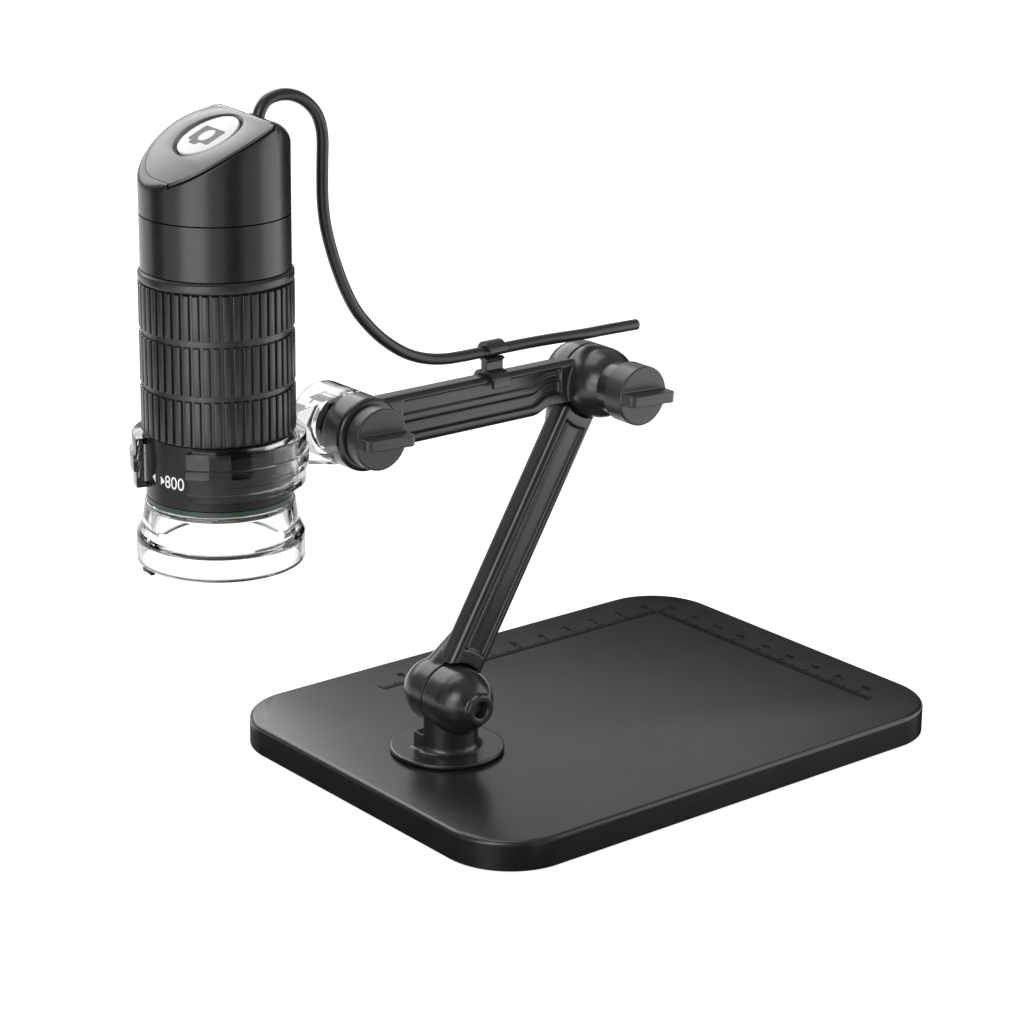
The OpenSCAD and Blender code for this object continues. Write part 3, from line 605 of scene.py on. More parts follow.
class Finish(Enum):
    """Every finish on the object and on its printed marks."""

    PLATE = Moulded("plate_charcoal", (0.01, 0.01, 0.0105), (0.014, 0.014, 0.0145), 0.25, 0.5, 2600.0)
    ARM = Moulded("arm_charcoal", (0.013, 0.013, 0.0135), (0.018, 0.018, 0.0185), 0.25, 0.5)
    MARK = Moulded("rule_dark", (0.003, 0.003, 0.003), (0.005, 0.005, 0.005), 0.62, 0.12)
    KNOB = Moulded("knob_grey", (0.02, 0.02, 0.021), (0.03, 0.03, 0.031), 0.36, 0.45)
    HOUSING = Moulded("housing_black", (0.007, 0.007, 0.0075), (0.011, 0.011, 0.0115), 0.27, 0.4)
    SLEEVE = Moulded("sleeve_black", (0.01, 0.01, 0.0105), (0.016, 0.016, 0.0165), 0.32, 0.45)
    FACE = Moulded("face_grey", (0.03, 0.03, 0.031), (0.04, 0.04, 0.041), 0.3, 0.45)
    BLACK = Moulded("barrel_black", (0.005, 0.005, 0.0055), (0.009, 0.009, 0.0095), 0.28, 0.22)
    WHITE = Moulded("button_white", (0.54, 0.54, 0.535), (0.6, 0.6, 0.595), 0.42, 0.3)
    INK_GREY = Moulded("ink_grey", (0.06, 0.06, 0.061), (0.08, 0.08, 0.081), 0.5, 0.3)
    INK_WHITE = Moulded("ink_white", (0.74, 0.74, 0.74), (0.86, 0.86, 0.86), 0.5, 0.3)
    SOFT_BLACK = Moulded("gland_soft", (0.01, 0.01, 0.01), (0.018, 0.018, 0.018), 0.5, 0.3)
    CORD = Moulded("lead_jacket", (0.009, 0.009, 0.0095), (0.016, 0.016, 0.0165), 0.33, 0.45, 4200.0, 0.1)
    NYLON = Moulded("washer_nylon", (0.5, 0.49, 0.45), (0.62, 0.61, 0.57), 0.45, 0.35)
    CHIP = Moulded("chip_black", (0.012, 0.013, 0.016), (0.03, 0.032, 0.04), 0.25, 0.5, 5200.0)
    CLEAR = Clear(
        "shade_clear", (0.985, 0.99, 0.99), (0.97, 0.978, 0.978), 0.02, 1.47,
        # Painted shade: dark where the shade is seen edge on.
        rim=(0.02, 0.02, 0.021), rim_reach=(0.34, 0.82),
        # Painted shade: a dark line along the foot of the shade.
        smoke=(0.02, 0.02, 0.021), smoke_axis="Z", smoke_ends=(0.0766, 0.0772),
    )
    RING = Clear(
        "ring_clear", (0.82, 0.825, 0.825), (0.78, 0.785, 0.785), 0.06, 1.33,
        # Painted shade: dark where the ring is seen edge on.
        rim=(0.02, 0.02, 0.021), rim_reach=(0.4, 0.9),
        # Darker towards the ring's end away from the arm.
        smoke=(0.3, 0.3, 0.302), smoke_axis="X", smoke_ends=(-0.134, -0.106),
    )
    GLASS = Clear("crown_glass", (0.97, 0.985, 0.98), (0.95, 0.97, 0.965), 0.01, 1.6)
    STEEL = Metal("bright_fastener", (0.52, 0.52, 0.53), (0.66, 0.66, 0.67), 0.28)
    DARK_STEEL = Metal("dark_fastener", (0.06, 0.06, 0.065), (0.12, 0.12, 0.125), 0.36)
    BALLAST = Metal("rolled_ballast", (0.3, 0.29, 0.28), (0.42, 0.41, 0.4), 0.5, (1.0, 9.0, 1.0))
    BOARD = Board("circuit_green", (0.004, 0.018, 0.009), (0.006, 0.027, 0.013))
    LED = Moulded(
        "lamp_resin", (0.72, 0.62, 0.22), (0.86, 0.85, 0.74), 0.16, 0.5, relief=0.0, clouds=600.0,
        cloud_detail=3.0, cloud_reach=(0.35, 0.62), patches=900.0, uneven=(-0.04, 0.04), inside=0.15,
    )
    GRIP = Moulded(
        "foot_rubber", (0.012, 0.012, 0.012), (0.022, 0.022, 0.022), 0.75, 0.2, relief=0.4, depth=0.2 * MM,
        tread=4.0 * MM, clouds=120.0, cloud_detail=3.0, cloud_reach=(0.3, 0.7), patches=700.0,
        uneven=(-0.07, 0.07),
    )

    def material(self) -> bpy.types.Material:
        """The finish's material, laid once."""
        return bpy.data.materials.get(self.value.name) or self.value.material()

    def on(self, piece: Piece) -> None:
        """Put the finish on every slot of a piece.

        Args:
            piece: The piece.
        """
        if not piece.material_slots:
            piece.data.materials.append(self.material())
        for slot in piece.material_slots:
            slot.material = self.material()


FINISHED: dict[Finish, tuple[str, ...]] = {
    Finish.PLATE: ("base_shell", "base_cover"),
    Finish.BALLAST: ("base_weight",),
    Finish.GRIP: ("base_pad",),
    Finish.DARK_STEEL: ("base_screws", "base_pivot_bolt", "head_bolt"),
    Finish.STEEL: ("swivel_screw", "swivel_washer", "elbow_bolt", "board_screws", "drive_pin"),
    Finish.ARM: ("swivel_post", "lower_arm", "upper_arm", "cable_clip"),
    Finish.NYLON: ("base_friction_washer", "elbow_washer", "head_washer"),
    Finish.KNOB: ("elbow_knob", "head_knob"),
    Finish.RING: ("clamp_ring",),
    Finish.HOUSING: ("rear_cap", "mid_housing"),
    Finish.FACE: ("face_plate",),
    Finish.WHITE: ("snapshot_button",),
    Finish.BOARD: ("button_board", "main_board", "led_board"),
    Finish.BLACK: ("tact_switch", "inner_tube", "lens_carriage", "front_barrel"),
    Finish.CHIP: ("image_sensor",),
    Finish.SLEEVE: ("focus_ring",),
    Finish.GLASS: ("front_lens", "rear_lens"),
    Finish.LED: ("leds",),
    Finish.CLEAR: ("clear_shade",),
    Finish.SOFT_BLACK: ("cable_gland",),
    Finish.CORD: ("usb_cable",),
}
NODE_FINISH = {node: finish for finish, nodes in FINISHED.items() for node in nodes}


def body_of(node: str) -> str:
    """The body that a CAD node belongs to."""
    bodies = frame["record"]["behaviour"]["bodies"]
    return next(body for body, members in bodies.items() if node in members)


def report(piece: Piece) -> None:
    """Log a finished piece."""
    log.info("%s: %d faces", piece.name, len(piece.data.polygons))


def stand_for(piece: Piece, node: str) -> None:
    """Dress a piece as a CAD node, show it instead and let it ride on the node's body.

    Args:
        piece: The piece.
        node: The CAD node's name.
    """
    NODE_FINISH[node].on(piece)
    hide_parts(node)
    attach(piece, body_of(node))
    report(piece)


@dataclass
class Moulding:
    """A dressed copy of one solid, with the edges that its mould gives it."""

    node: str
    edge: Edge
    size: float = 0.0
    passes: int = 0
    degrees: float = 30.0

    def build(self) -> None:
        """Copy the solid, finish its edges, dress it and let it ride."""
        piece = copy_node(self.node)
        if self.edge is Edge.FLOWING:
            soften(piece, self.size, self.passes)
        elif self.edge is Edge.BROKEN:
            break_edges(piece, self.size, self.degrees)
        else:
            smooth(piece, self.degrees)
        stand_for(piece, self.node)


@dataclass
class Cord:
    """The USB lead, from the gland over its loop to the clip and its cut end."""

    radius: float = 1.45 * MM
    steps: int = 6
    round_steps: int = 7
    smooth_below: float = 50.0
    hold_start: Point = (-0.057, 0.0, 0.115)
    hold_end: Point = (-0.087, -0.002, 0.149)
    route: tuple[Point, ...] = (
        (-108.1, -1.9, 178.4), (-106.9, -2.0, 181.1), (-106.0, -2.0, 183.1), (-104.3, -2.0, 184.8),
        (-101.4, -2.0, 185.6), (-98.0, -2.0, 185.4), (-94.8, -2.0, 184.2), (-92.2, -2.0, 182.3),
        (-90.2, -2.0, 179.8), (-89.1, -2.0, 176.8), (-88.7, -2.0, 173.5), (-88.8, -2.0, 169.0),
        (-88.9, -2.0, 164.0), (-88.8, -2.0, 159.0), (-88.2, -2.0, 154.0), (-87.0, -2.0, 149.0),
        (-85.2, -2.0, 143.5), (-82.4, -2.0, 136.8), (-79.0, -1.8, 131.0), (-74.4, -1.2, 125.9),
        (-69.2, -0.6, 121.4), (-63.0, -0.2, 117.4), (-57.0, 0.0, 115.0), (-51.0, 0.0, 113.8),
        (-45.0, 0.0, 113.5), (-39.0, 0.0, 113.5), (-33.0, 0.0, 113.5), (-25.0, 0.0, 113.5),
        (-15.0, 0.0, 113.3), (-5.0, 0.0, 112.9), (4.0, 0.0, 112.8), (13.4, 0.0, 112.6),
    )

    def line(self) -> list[Vector]:
        """The route as one smooth curve through its points.

        Returns:
            Closely spaced points on the curve, in metres.
        """
        pts = [Vector(p) * MM for p in self.route]
        ends = [pts[0] * 2 - pts[1], *pts, pts[-1] * 2 - pts[-2]]
        found = []
        for a, b, c, d in zip(ends, ends[1:], ends[2:], ends[3:]):
            for k in range(self.steps):
                t = k / self.steps
                found.append(
                    0.5 * (2 * b + (c - a) * t + (2 * a - 5 * b + 4 * c - d) * t**2
                           + (3 * b - a - 3 * c + d) * t**3)
                )
        return [*found, pts[-1]]

    def build(self) -> None:
        line = self.line()
        curve = bpy.data.curves.new("usb_lead", "CURVE")
        curve.dimensions = "3D"
        curve.bevel_depth = self.radius
        curve.bevel_resolution = self.round_steps
        curve.use_fill_caps = True
        piece = draw(curve, [line], closed=False)
        smooth(piece, self.smooth_below)
        Finish.CORD.on(piece)
        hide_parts("usb_cable")
        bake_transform(piece)


@dataclass
class Stand:
    """Base plate with its rule, the post, the two arms, the clip and the knobs, in millimetres."""

    rule_corner: Pair = (63.1, 42.9)
    long_marks: int = 100
    short_marks: int = 86
    mark_lengths: tuple[float, float, float] = (3.2, 2.4, 1.6)
    mark_width: float = 0.28
    mark_lift: float = 0.12
    mark_foot: float = 0.1
    mark_inset: float = 0.06
    mark_crown: float = 0.03
    digit_size: float = 4.2
    digit_bevel: float = 0.03
    digit_gaps: Pair = (5.4, 5.9)

    def build(self) -> None:
        """Mould every stand piece and set the rule on the plate."""
        for moulding in (
            Moulding("base_shell", Edge.CRISP, degrees=28),
            Moulding("swivel_post", Edge.FLOWING, 0.28 * MM, 6),
            Moulding("lower_arm", Edge.FLOWING, 0.28 * MM, 5),
            Moulding("upper_arm", Edge.FLOWING, 0.26 * MM, 5),
            Moulding("cable_clip", Edge.FLOWING, 0.16 * MM, 5),
            Moulding("elbow_knob", Edge.FLOWING, 0.16 * MM, 5),
            Moulding("head_knob", Edge.FLOWING, 0.16 * MM, 5),
        ):
            moulding.build()
        self.rule()

    def tick(self) -> Piece:
        """One raised mark, 1 mm long along Y from the origin, with a narrowed top.

        Returns:
            The mark, with its foot below z = 0.
        """
        mark = cube("rule_mark")
        size = (self.mark_width * MM, MM, (self.mark_lift + self.mark_foot) * MM, 1.0)
        mark.data.transform(Matrix.Translation((0.0, 0.5, 0.5)))
        mark.data.transform(Matrix.Diagonal(size))
        mark.data.transform(Matrix.Translation((0.0, 0.0, -self.mark_foot * MM)))
        with editing(mark):
            pick_faces(mark, lambda centre, normal: normal.z > FACING)
            bpy.ops.mesh.inset(thickness=self.mark_inset * MM, depth=0.0)
            bpy.ops.transform.translate(value=(0.0, 0.0, self.mark_crown * MM))
        return mark

    def marks(self, top: float) -> list[Piece]:
        """Stand the rule's marks and its two lines on the plate.

        Args:
            top: The height of the plate, in metres.

        Returns:
            The marks and lines.
        """
        x0, y0 = (v * MM for v in self.rule_corner)
        ten, five, one = self.mark_lengths
        places = []
        for turn, count, dx, dy in ((0.0, self.long_marks, -MM, 0.0), (-90.0, self.short_marks, 0.0, -MM)):
            for i in range(count + 1):
                length = ten if i % 10 == 0 else five if i % 5 == 0 else one
                places.append((x0 + dx * i, y0 + dy * i, turn, length))
        places += [(x0, y0, 90.0, float(self.long_marks)), (x0, y0, 180.0, float(self.short_marks))]
        mark = self.tick()
        copies = []
        for x, y, turn, length in places:
            copies.append(link(mark.name, mark.data.copy()))
            place = Matrix.Translation((x, y, top)) @ Matrix.Rotation(math.radians(turn), 4, "Z")
            copies[-1].data.transform(place @ Matrix.Diagonal((1.0, length, 1.0, 1.0)))
        bpy.data.objects.remove(mark)
        return copies

    def digits(self, top: float) -> list[Piece]:
        """Stand the rule's numbers on the plate.

        Args:
            top: The height of the plate, in metres.

        Returns:
            The numbers.
        """
        x0, y0 = (v * MM for v in self.rule_corner)
        beyond, beside = (v * MM for v in self.digit_gaps)
        places = [(i // 10, x0 - i * MM, y0 + beyond) for i in range(0, self.long_marks, 10)]
        places += [(i // 10, x0 + beside, y0 - i * MM) for i in range(0, self.short_marks, 10)]
        sizes = [v * MM for v in (self.digit_size, self.mark_lift, self.digit_bevel)]
        found = []
        for number, x, y in places:
            found.append(lettering(str(number), *sizes))
            found[-1].data.transform(Matrix.Translation((x, y, top)))
        return found

    def rule(self) -> None:
        """Set the L-shaped centimetre rule on the plate."""
        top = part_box("base_shell")[1].z
        rule = join(self.marks(top) + self.digits(top), "plate_rule")
        Finish.MARK.on(rule)
        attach(rule, "base")
        report(rule)


@dataclass(frozen=True)
class Datum:
    """The head's axis, the height of its lower rim and the turn of its slanted top."""

    x: float = -117.886
    y: float = 0.0
    z: float = 76.167
    turn: float = -5.7

    def at(self, r: float, degrees: float, z: float) -> Point:
        """A point round the axis, in metres, from its distance, angle and height in millimetres."""
        a = math.radians(degrees)
        return ((self.x + r * math.cos(a)) * MM, (self.y + r * math.sin(a)) * MM, z * MM)

    def reach(self, point: Vector) -> float:
        """How far a point lies from the axis, in millimetres."""
        return math.hypot(point.x / MM - self.x, point.y / MM - self.y)


DATUM = Datum()


@dataclass(frozen=True)
class Rim:
    """How the cap's top meets the face plate: its drop, the chord of its slope and its seat's depth."""

    drop: float
    chord: float
    sunk: float


@dataclass
class Cap:
    """The slanted rear cap, with a round far rim and a low ledge under the plate's near edge.

    Sizes are in millimetres over the head's datum, angles run from uphill in the slanted top's plan.
    """

    wall_r: float = 17.6
    low: float = 84.1
    face_arc: Pair = (34.37, 29.71)
    face_r: float = 81.0
    back_arc: Pair = (3.98, 92.89)
    back_r: float = 14.0
    crest_soft: float = 0.7
    far: Rim = Rim(0.0, 2.4, 1.02)
    near: Rim = Rim(1.0, 0.7, 0.3)
    rim_round: float = 2.8
    rim_share: float = 0.95
    seam_u: float = 7.18
    seam_round: float = 15.68
    corner_r: float = 8.28
    ledge: Pair = (204.6, 294.6)
    ledge_r: float = 15.9
    ledge_round: float = 0.35
    lip: float = 1.2
    lip_edge: float = 0.14
    seat: float = 0.6
    wall_steps: int = 6
    rim_steps: int = 8
    top_steps: int = 14
    thick: float = 0.25
    smooth_below: float = 35.0

    def top_z(self, u: float) -> float:
        """Height of the slanted top.

        Args:
            u: How far uphill from the axis.

        Returns:
            The height of the face's arc, the back's arc or the soft crest between them.
        """
        face, back = (
            cz + math.sqrt(max(r * r - (u - cu) ** 2, 0.0))
            for (cu, cz), r in ((self.face_arc, self.face_r), (self.back_arc, self.back_r))
        )
        if u < 0.0:
            return face
        soft = max(1.0 - abs(face - back) / self.crest_soft, 0.0)
        return min(face, back) - soft * soft * self.crest_soft / 4

    def seam_r(self, degrees: float) -> float:
        """Distance of the face plate's seam from the axis.

        Args:
            degrees: The angle.

        Returns:
            The distance, or that of the wall if the plate goes out to it.
        """
        c, s = math.cos(math.radians(degrees)), math.sin(math.radians(degrees))
        if s < 0.0:
            line = self.seam_u if c > 0.0 else -self.seam_round
            return min(line / c, self.wall_r) if abs(c) > 1e-6 else self.wall_r
        cu = self.seam_u - self.corner_r
        cv = math.sqrt((self.seam_round - self.corner_r) ** 2 - cu * cu)
        if math.degrees(math.atan2(cv, cu)) < degrees:
            return self.seam_round
        along = c * cu + s * cv
        arc = along + math.sqrt(max(self.corner_r**2 - (cu * cu + cv * cv - along * along), 0.0))
        return self.seam_u / c if s * self.seam_u < c * cv else arc

    def column(self, degrees: float, near: bool) -> list[Pair]:
        """One section of the cap's skin through the axis.

        Args:
            degrees: The angle.
            near: Whether the rim is the low ledge under the plate's near edge.

        Returns:
            Distance and height of the points from the lower lip over the rim to the plate's seat.
        """
        c = math.cos(math.radians(degrees))
        rim = self.near if near else self.far
        wide = self.wall_r
        inner = self.ledge_r if near else self.seam_r(degrees)
        slope = (self.top_z(wide * c) - self.top_z((wide - rim.chord) * c)) / rim.chord
        lean = math.atan(slope)
        room = self.rim_share * (wide - inner) / (1.0 + math.sin(lean))
        radius = self.ledge_round if near else min(self.rim_round, room)
        cz = self.top_z(wide * c) - rim.drop - slope * radius - radius / math.cos(lean)
        foot = self.low + self.lip_edge
        found = [(wide - self.lip, self.low), (wide - self.lip_edge, self.low), (wide, foot)]
        found += [(wide, foot + (cz - foot) * k / self.wall_steps) for k in range(1, self.wall_steps)]
        for k in range(self.rim_steps + 1):
            a = (math.pi / 2 + lean) * k / self.rim_steps
            found.append((wide - radius + radius * math.cos(a), cz + radius * math.sin(a)))
        start, level = found[-1]
        step = level - (self.top_z(start * c) - rim.drop)
        for k in range(1, self.top_steps + 1):
            r = start + (inner - start) * k / self.top_steps
            found.append((r, self.top_z(r * c) - rim.drop + step * (1 - k / self.top_steps)))
        edge = self.top_z(inner * c) - rim.drop
        return [*found, (inner, edge - rim.sunk), (inner - self.seat, edge - rim.sunk)]

    def build(self) -> None:
        """Lay the sections round the axis, give them a thickness and stand for the cap."""
        left, right = self.ledge
        first, last = math.ceil(left), math.ceil(right)
        turns = [(d, False) for d in range(last - 360, first)] + [(left, False), (left, True)]
        turns += [(d, True) for d in range(first, last)] + [(right, True), (right, False)]
        columns = [self.column(d, near) for d, near in turns]
        points = [
            DATUM.at(r, degrees + DATUM.turn, DATUM.z + z)
            for (degrees, _), column in zip(turns, columns) for r, z in column
        ]
        rows, count = len(columns[0]), len(columns)
        faces = [
            (i * rows + k, (i + 1) % count * rows + k, (i + 1) % count * rows + k + 1, i * rows + k + 1)
            for i in range(count) for k in range(rows - 1)
        ]
        mesh = bpy.data.meshes.new("rear_cap_skin")
        mesh.from_pydata(points, [], faces)
        piece = link("rear_cap_skin", mesh)
        weld(piece)
        shell = piece.modifiers.new("shell", "SOLIDIFY")
        shell.thickness = self.thick * MM
        shell.offset = -1.0
        apply_all(piece)
        smooth(piece, self.smooth_below)
        stand_for(piece, "rear_cap")


@dataclass
class Shade:
    """The clear shade, spun from its section, with a dark tab under its rim, in millimetres."""

    radius: float = 20.1
    height: float = 15.0
    skirt: float = 6.8
    thick: float = 1.3
    neck_in: float = 2.3
    flare: Pair = (0.8, 3.0)
    step: Pair = (1.6, 0.4)
    wall: Pair = (1.0, 1.2)
    roof: float = 1.4
    bore_r: float = 14.2
    bead_steps: int = 12
    corner_round: float = 0.3
    corner_steps: int = 5
    turns: int = 192
    smooth_below: float = 40.0
    tab_size: Point = (1.0, 4.4, 0.85)
    tab_in: float = 0.72
    tab_drop: float = 0.3
    tooth: float = 0.12
    tooth_gap: float = 0.6
    tab_edge: float = 0.08
    tab_sharp: float = 40.0

    def section(self) -> list[Pair]:
        """The shade's section: a half round bead at its foot, then its corners.

        Returns:
            Distance and height of each point, up the inside, over the roof and down the outside.
        """
        bead = self.thick / 2
        neck, roof = self.radius - self.neck_in, self.height - self.roof
        turns = [k * math.pi / self.bead_steps for k in range(self.bead_steps + 1)]
        return [
            *((self.radius - bead + bead * math.cos(a), bead - bead * math.sin(a)) for a in turns),
            (self.radius - self.thick, self.skirt - self.step[0]),
            (neck - self.wall[0], self.skirt - self.step[1]),
            (neck - self.wall[1], roof),
            (self.bore_r, roof),
            (self.bore_r, self.height),
            (neck, self.height),
            (neck + self.flare[0], self.skirt + self.flare[1]),
            (self.radius, self.skirt),
        ]

    def build(self) -> None:
        """Spin the section about the axis, stand for the shade and add the tab."""
        section = self.section()
        count = len(section)
        mesh = bpy.data.meshes.new("clear_shade_skin")
        points = [DATUM.at(r, 0.0, DATUM.z + z) for r, z in section]
        mesh.from_pydata(points, [(i, (i + 1) % count) for i in range(count)], [])
        for i, vertex in enumerate(mesh.vertices):
            vertex.select = i > self.bead_steps
        piece = link("clear_shade_skin", mesh)
        hold(piece)
        bpy.ops.object.mode_set(mode="EDIT")
        bpy.ops.mesh.bevel(offset=self.corner_round * MM, segments=self.corner_steps, affect="VERTICES")
        bpy.ops.mesh.select_all(action="SELECT")
        bpy.ops.mesh.spin(
            steps=self.turns, angle=2 * math.pi, axis=(0.0, 0.0, 1.0),
            center=(DATUM.x * MM, DATUM.y * MM, 0.0),
        )
        bpy.ops.object.mode_set(mode="OBJECT")
        weld(piece)
        smooth(piece, self.smooth_below)
        stand_for(piece, "clear_shade")
        self.tab()

    def tab(self) -> None:
        """Set the small tab with two teeth under the shade's rim, black as painted shade for the dark look of
        the clear tab.
        """
        tab = cube("shade_tab")
        tab.data.transform(Matrix.Diagonal((*(v * MM for v in self.tab_size), 1.0)))
        with editing(tab):
            bpy.ops.mesh.subdivide(number_cuts=2)
            pick_faces(tab, lambda c, n: n.z < -FACING and abs(c.y) > self.tooth_gap * MM)
            bpy.ops.mesh.extrude_region_move(TRANSFORM_OT_translate={"value": (0.0, 0.0, -self.tooth * MM)})
        axis = Matrix.Translation((DATUM.x * MM, DATUM.y * MM, 0.0))
        turn = Matrix.Rotation(math.radians(180.0 + DATUM.turn), 4, "Z")
        middle = ((self.radius - self.tab_in) * MM, 0.0, (DATUM.z - self.tab_drop) * MM)
        tab.data.transform(axis @ turn @ Matrix.Translation(middle))
        break_edges(tab, self.tab_edge * MM, self.tab_sharp)
        # Painted shade: the tab belongs to the clear shade and is given the black finish for its dark look.
        Finish.BLACK.on(tab)
        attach(tab, "head")
        report(tab)


@dataclass
class Prints:
    """The sign on the button and the marks on the barrel, in millimetres."""

    button_centre: Point = (-119.478, 0.159, 178.454)
    button_inward: Point = (0.44189, -0.04411, -0.89598)
    button_sink: float = 0.3
    sign_lift: float = 0.015
    sign_half: float = 0.02
    sign_outline: tuple[Pair, ...] = (
        (-4.7, -2.7), (-4.7, 2.1), (-4.3, 2.5), (4.3, 2.5), (4.7, 2.1), (4.7, -2.7), (4.3, -3.1),
        (2.9, -3.1), (2.5, -4.2), (-0.6, -4.2), (-1.0, -3.1), (-4.3, -3.1),
    )
    eye_r: float = 2.2
    eye_y: float = -0.3
    eye_steps: int = 48
    barrel_r: float = 17.4
    mark_lift: float = 0.012
    mark_z: float = 98.7
    arrow_size: Pair = (0.95, 1.2)
    arrow_thick: float = 0.015
    arrow_turns: tuple[tuple[int, float], ...] = ((-1, 175.2), (1, 186.0))
    number: str = "800"
    number_turn: float = 198.6
    number_height: float = 3.1
    number_share: float = 0.72
    number_squeeze: float = 0.9
    number_half: float = 0.008

    def build(self) -> None:
        """Print the sign and the marks."""
        self.sign()
        self.marks()

    def sign(self) -> None:
        """Print a plain camera on the button: a body with a bump and a round opening."""
        turns = [2 * math.pi * k / self.eye_steps for k in range(self.eye_steps)]
        eye = [(self.eye_r * math.cos(a), self.eye_r * math.sin(a) + self.eye_y) for a in turns]
        curve = bpy.data.curves.new("button_sign", "CURVE")
        curve.dimensions = "2D"
        curve.fill_mode = "BOTH"
        curve.extrude = self.sign_half * MM
        lines = [[(x * MM, y * MM, 0.0) for x, y in line] for line in (self.sign_outline, eye)]
        sign = draw(curve, lines, closed=True)
        out = -Vector(self.button_inward).normalized()
        turn = math.radians(DATUM.turn)
        level = Vector((-math.sin(turn), math.cos(turn), 0.0))
        place = Matrix((level, level.cross(out), out)).transposed().to_4x4()
        spot = Vector(self.button_centre) * MM - out * (self.button_sink - self.sign_lift) * MM
        sign.data.transform(Matrix.Translation(spot) @ place)
        weld(sign)
        Finish.INK_GREY.on(sign)
        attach(sign, "snapshot_button")
        report(sign)

    def wrap(self, piece: Piece, degrees: float) -> None:
        """Lay a flat print on the barrel.

        Args:
            piece: The print, flat in XY at the origin, its X along the barrel's turn.
            degrees: The angle round the head's axis where its origin goes.
        """
        lift = self.barrel_r * MM + self.mark_lift * MM
        for vertex in piece.data.vertices:
            a = math.radians(degrees) + vertex.co.x / lift
            r = lift + vertex.co.z
            vertex.co = (
                DATUM.x * MM + r * math.cos(a),
                DATUM.y * MM + r * math.sin(a),
                self.mark_z * MM + vertex.co.y,
            )

    def arrow(self, side: int) -> Piece:
        """A flat arrow head that points to one side.

        Args:
            side: 1 for the right, -1 for the left.

        Returns:
            The arrow head, flat at the origin.
        """
        bpy.ops.mesh.primitive_circle_add(vertices=3, radius=1.0, fill_type="NGON")
        mark = added("barrel_arrow")
        turn = Matrix.Rotation(math.radians(-90.0 * side), 4, "Z")
        wide, tall = self.arrow_size
        mark.data.transform(Matrix.Diagonal((wide * MM, tall * MM, MM, 1.0)) @ turn)
        with editing(mark):
            rise = (0.0, 0.0, self.arrow_thick * MM)
            bpy.ops.mesh.extrude_region_move(TRANSFORM_OT_translate={"value": rise})
        weld(mark)
        return mark

    def marks(self) -> None:
        """Print two arrow heads and a number on the barrel, in the gap of the clear ring."""
        prints = []
        for side, degrees in self.arrow_turns:
            mark = self.arrow(side)
            self.wrap(mark, degrees)
            prints.append(mark)
        size = self.number_height * MM / self.number_share
        number = lettering(self.number, size, self.number_half * MM)
        number.data.transform(Matrix.Diagonal((self.number_squeeze, 1.0, 1.0, 1.0)))
        self.wrap(number, self.number_turn)
        marks = join([*prints, number], "barrel_marks")
        Finish.INK_WHITE.on(marks)
        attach(marks, "head")
        report(marks)


@dataclass
class Head:
    """The microscope: housing, clear ring, cap, sleeve, shade and prints, in millimetres."""

    band_reach: Pair = (20.4, 21.3)
    band_round: float = 0.28
    band_sharp: float = 40.0
    rib_reach: Pair = (18.08, 30.0)
    rib_round: float = 0.24
    rib_sharp: float = 28.0
    smooth_below: float = 32.0

    def build(self) -> None:
        """Mould every outer piece of the head and print its marks."""
        for moulding in (
            Moulding("mid_housing", Edge.CRISP),
            Moulding("face_plate", Edge.BROKEN, 0.12 * MM),
            Moulding("snapshot_button", Edge.BROKEN, 0.25 * MM),
            Moulding("front_barrel", Edge.CRISP),
            Moulding("head_bolt", Edge.BROKEN, 0.25 * MM, degrees=25),
        ):
            moulding.build()
        self.rounded(
            "clamp_ring", self.band_round, self.band_reach,
            lambda a, b, turn: abs(a.z - b.z) < WELD / 2 and turn > self.band_sharp,
        )
        Cap().build()
        self.rounded("focus_ring", self.rib_round, self.rib_reach, lambda a, b, turn: turn > self.rib_sharp)
        Shade().build()
        Prints().build()

    def rounded(self, node: str, width: float, reach: Pair, wanted: Choice) -> None:
        """Copy a solid, round some of its outer edges and stand for it.

        Args:
            node: The CAD node's name.
            width: The width of the rounding, in millimetres.
            reach: The least and the greatest distance of such an edge from the axis.
            wanted: Chooses among these edges by their ends and angle.
        """
        piece = copy_node(node)
        low, high = reach
        round_edges(
            piece, width * MM,
            lambda a, b, turn: wanted(a, b, turn) and all(low < DATUM.reach(p) < high for p in (a, b)),
        )
        smooth(piece, self.smooth_below)
        stand_for(piece, node)


@dataclass(frozen=True)
class Panel:
    """A softbox, whose radiance is 1 where it looks white, or a dark card, whose radiance is 0."""

    name: str
    at: Point
    target: Point
    size: Pair
    radiance: float = 0.0

    def place(self) -> Matrix:
        """The panel's place, turned so that it faces its target."""
        at, target = Vector(self.at), Vector(self.target)
        return Matrix.Translation(at) @ (target - at).to_track_quat("-Z", "Y").to_matrix().to_4x4()

    def light(self) -> None:
        """Set the panel up as a soft rectangular lamp."""
        data = bpy.data.lights.new(self.name, "AREA")
        data.shape = "RECTANGLE"
        data.size, data.size_y = self.size
        data.energy = self.radiance * math.pi * self.size[0] * self.size[1]
        lamp = link(self.name, data)
        lamp.matrix_world = self.place()
        lamp.visible_camera = False

    def shade(self) -> None:
        """Set the panel up as a dark card that only shows in gloss and through clear pieces."""
        bpy.ops.mesh.primitive_plane_add(size=1.0)
        card = added(self.name)
        card.data.transform(Matrix.Diagonal((*self.size, 1.0, 1.0)))
        card.data.transform(self.place())
        card.visible_camera = False
        card.visible_diffuse = False
        card.visible_shadow = False
        Finish.BLACK.on(card)


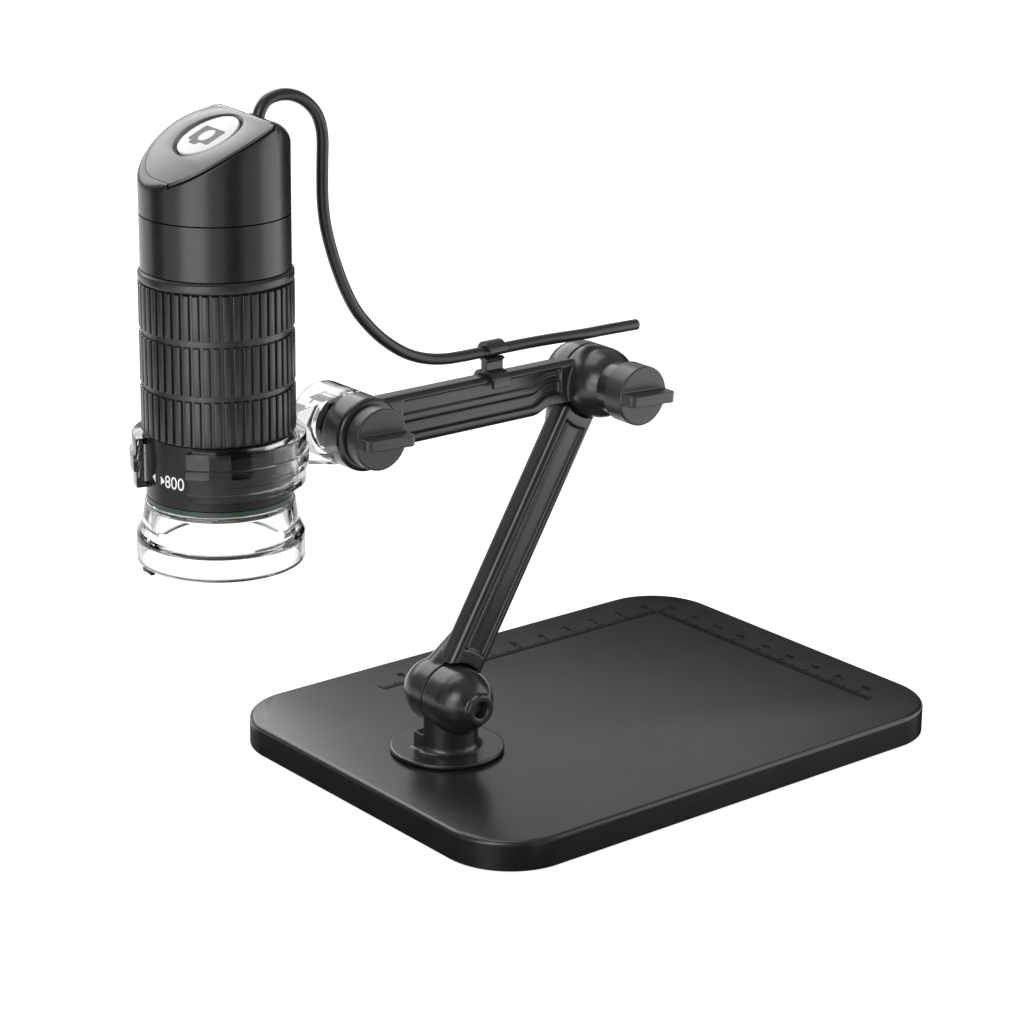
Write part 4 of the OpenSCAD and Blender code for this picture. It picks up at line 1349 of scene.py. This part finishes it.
@dataclass
class Studio:
    """Camera, floor, lamps, dark cards and world."""

    azimuth: float = -39.347
    elevation: float = 18.298
    roll: float = 0.725
    eye: Point = (-0.48545, -0.55509, 0.30875)
    lens: float = 104.49
    sensor: float = 36.0
    clip: Pair = (0.01, 60.0)
    floor_r: float = 40.0
    floor_corners: int = 96
    floor_glow: float = 0.81
    floor_grey: float = 0.46
    room: float = 0.42
    tall: float = 130.0
    low: float = 75.0

    def camera(self) -> None:
        """Set the camera where the photograph was taken from."""
        a, e, r = (math.radians(v) for v in (self.azimuth, self.elevation, self.roll))
        level = Vector((math.cos(a), math.sin(a), 0.0))
        back = Vector((math.sin(a) * math.cos(e), -math.cos(a) * math.cos(e), math.sin(e)))
        rise = back.cross(level)
        right = math.cos(r) * level + math.sin(r) * rise
        up = -math.sin(r) * level + math.cos(r) * rise
        data = bpy.data.cameras.new("camera")
        data.lens = self.lens
        data.sensor_width = self.sensor
        data.clip_start, data.clip_end = self.clip
        camera = link("camera", data)
        turn = Matrix((right, up, back)).transposed().to_4x4()
        camera.matrix_world = Matrix.Translation(self.eye) @ turn
        bpy.context.scene.camera = camera

    def floor(self) -> None:
        """Lay a wide white floor that glows where it is seen and else takes light and shadow."""
        bpy.ops.mesh.primitive_circle_add(vertices=self.floor_corners, radius=self.floor_r, fill_type="NGON")
        floor = added("studio_floor")
        bench = NodeBench("floor_white")
        path = bench.add("LightPath").outputs
        seen = path["Is Camera Ray"]
        for ray in ("Is Glossy Ray", "Is Transmission Ray"):
            seen = bench.add("Math", {0: seen, 1: path[ray]}, operation="MAXIMUM").outputs[0]
        level = bench.add("Math", {0: seen, 1: self.floor_glow}, operation="MULTIPLY").outputs[0]
        glow = bench.add("Emission", {"Strength": level})
        grey = (self.floor_grey, self.floor_grey, self.floor_grey, 1.0)
        matt = bench.add("BsdfDiffuse", {"Color": grey})
        both = bench.add("AddShader", {0: matt.outputs[0], 1: glow.outputs[0]})
        floor.data.materials.append(bench.show(both))

    def world(self) -> None:
        """Light the room evenly."""
        world = bpy.data.worlds.new("studio_world")
        bpy.context.scene.world = world
        world.use_nodes = True
        ground = world.node_tree.nodes["Background"]
        ground.inputs["Color"].default_value = (*UNTINTED, 1.0)
        ground.inputs["Strength"].default_value = self.room

    def build(self) -> None:
        """Lay the floor, set the world and stand the lamps and cards."""
        self.floor()
        self.world()
        tall, low = self.tall, self.low
        heart, foot = DATUM.at(0.0, 0.0, tall), DATUM.at(0.0, 0.0, low)
        for lamp in (
            Panel("lamp_left", DATUM.at(340.0, 204.5, tall), heart, (0.23, 0.26), 3.0),
            Panel("lamp_right", DATUM.at(360.0, 330.5, tall), heart, (0.27, 0.26), 1.7),
            Panel("lamp_top", (-0.1, 0.25, 0.9), (-0.05, 0.0, 0.1), (0.7, 0.5), 2.8),
            Panel("lamp_back", (0.0, 0.77, 0.61), (-0.12, 0.0, 0.178), (0.84, 0.6), 3.1),
            Panel("lamp_high", (-0.48, -0.27, 0.36), (-0.03, 0.0, 0.07), (0.26, 0.26), 4.6),
            Panel("lamp_side", (0.56, 0.77, 0.45), (0.0, 0.0, 0.03), (0.5, 0.3), 0.45),
        ):
            lamp.light()
        for card in (
            Panel("card_front", DATUM.at(340.0, 263.5, tall), heart, (0.16, 0.26)),
            Panel("card_left", DATUM.at(340.0, 140.0, tall), heart, (0.16, 0.26)),
            Panel("card_far", (0.47, 0.08, 0.16), (0.0, 0.0, 0.1), (0.34, 0.32)),
            Panel("card_floor", (0.0, -0.02, 0.0002), (0.0, -0.02, 1.0), (0.28, 0.17)),
            Panel("card_low", DATUM.at(450.0, 30.0, low), foot, (0.4, 0.13)),
        ):
            card.shade()


def main() -> None:
    """Build the scene piece by piece."""
    logging.basicConfig(level=logging.INFO, format="%(name)s: %(message)s")
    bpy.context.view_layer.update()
    for default in [o for o in bpy.data.objects if o.name in ("Cube", "Light", "Camera")]:
        bpy.data.objects.remove(default)
    bpy.context.scene.view_settings.view_transform = "Standard"
    studio = Studio()
    studio.camera()
    Cord().build()
    for node, finish in NODE_FINISH.items():
        finish.on(frame["nodes"][node])
    Stand().build()
    Head().build()
    studio.build()


if __name__ == "__main__":
    main()
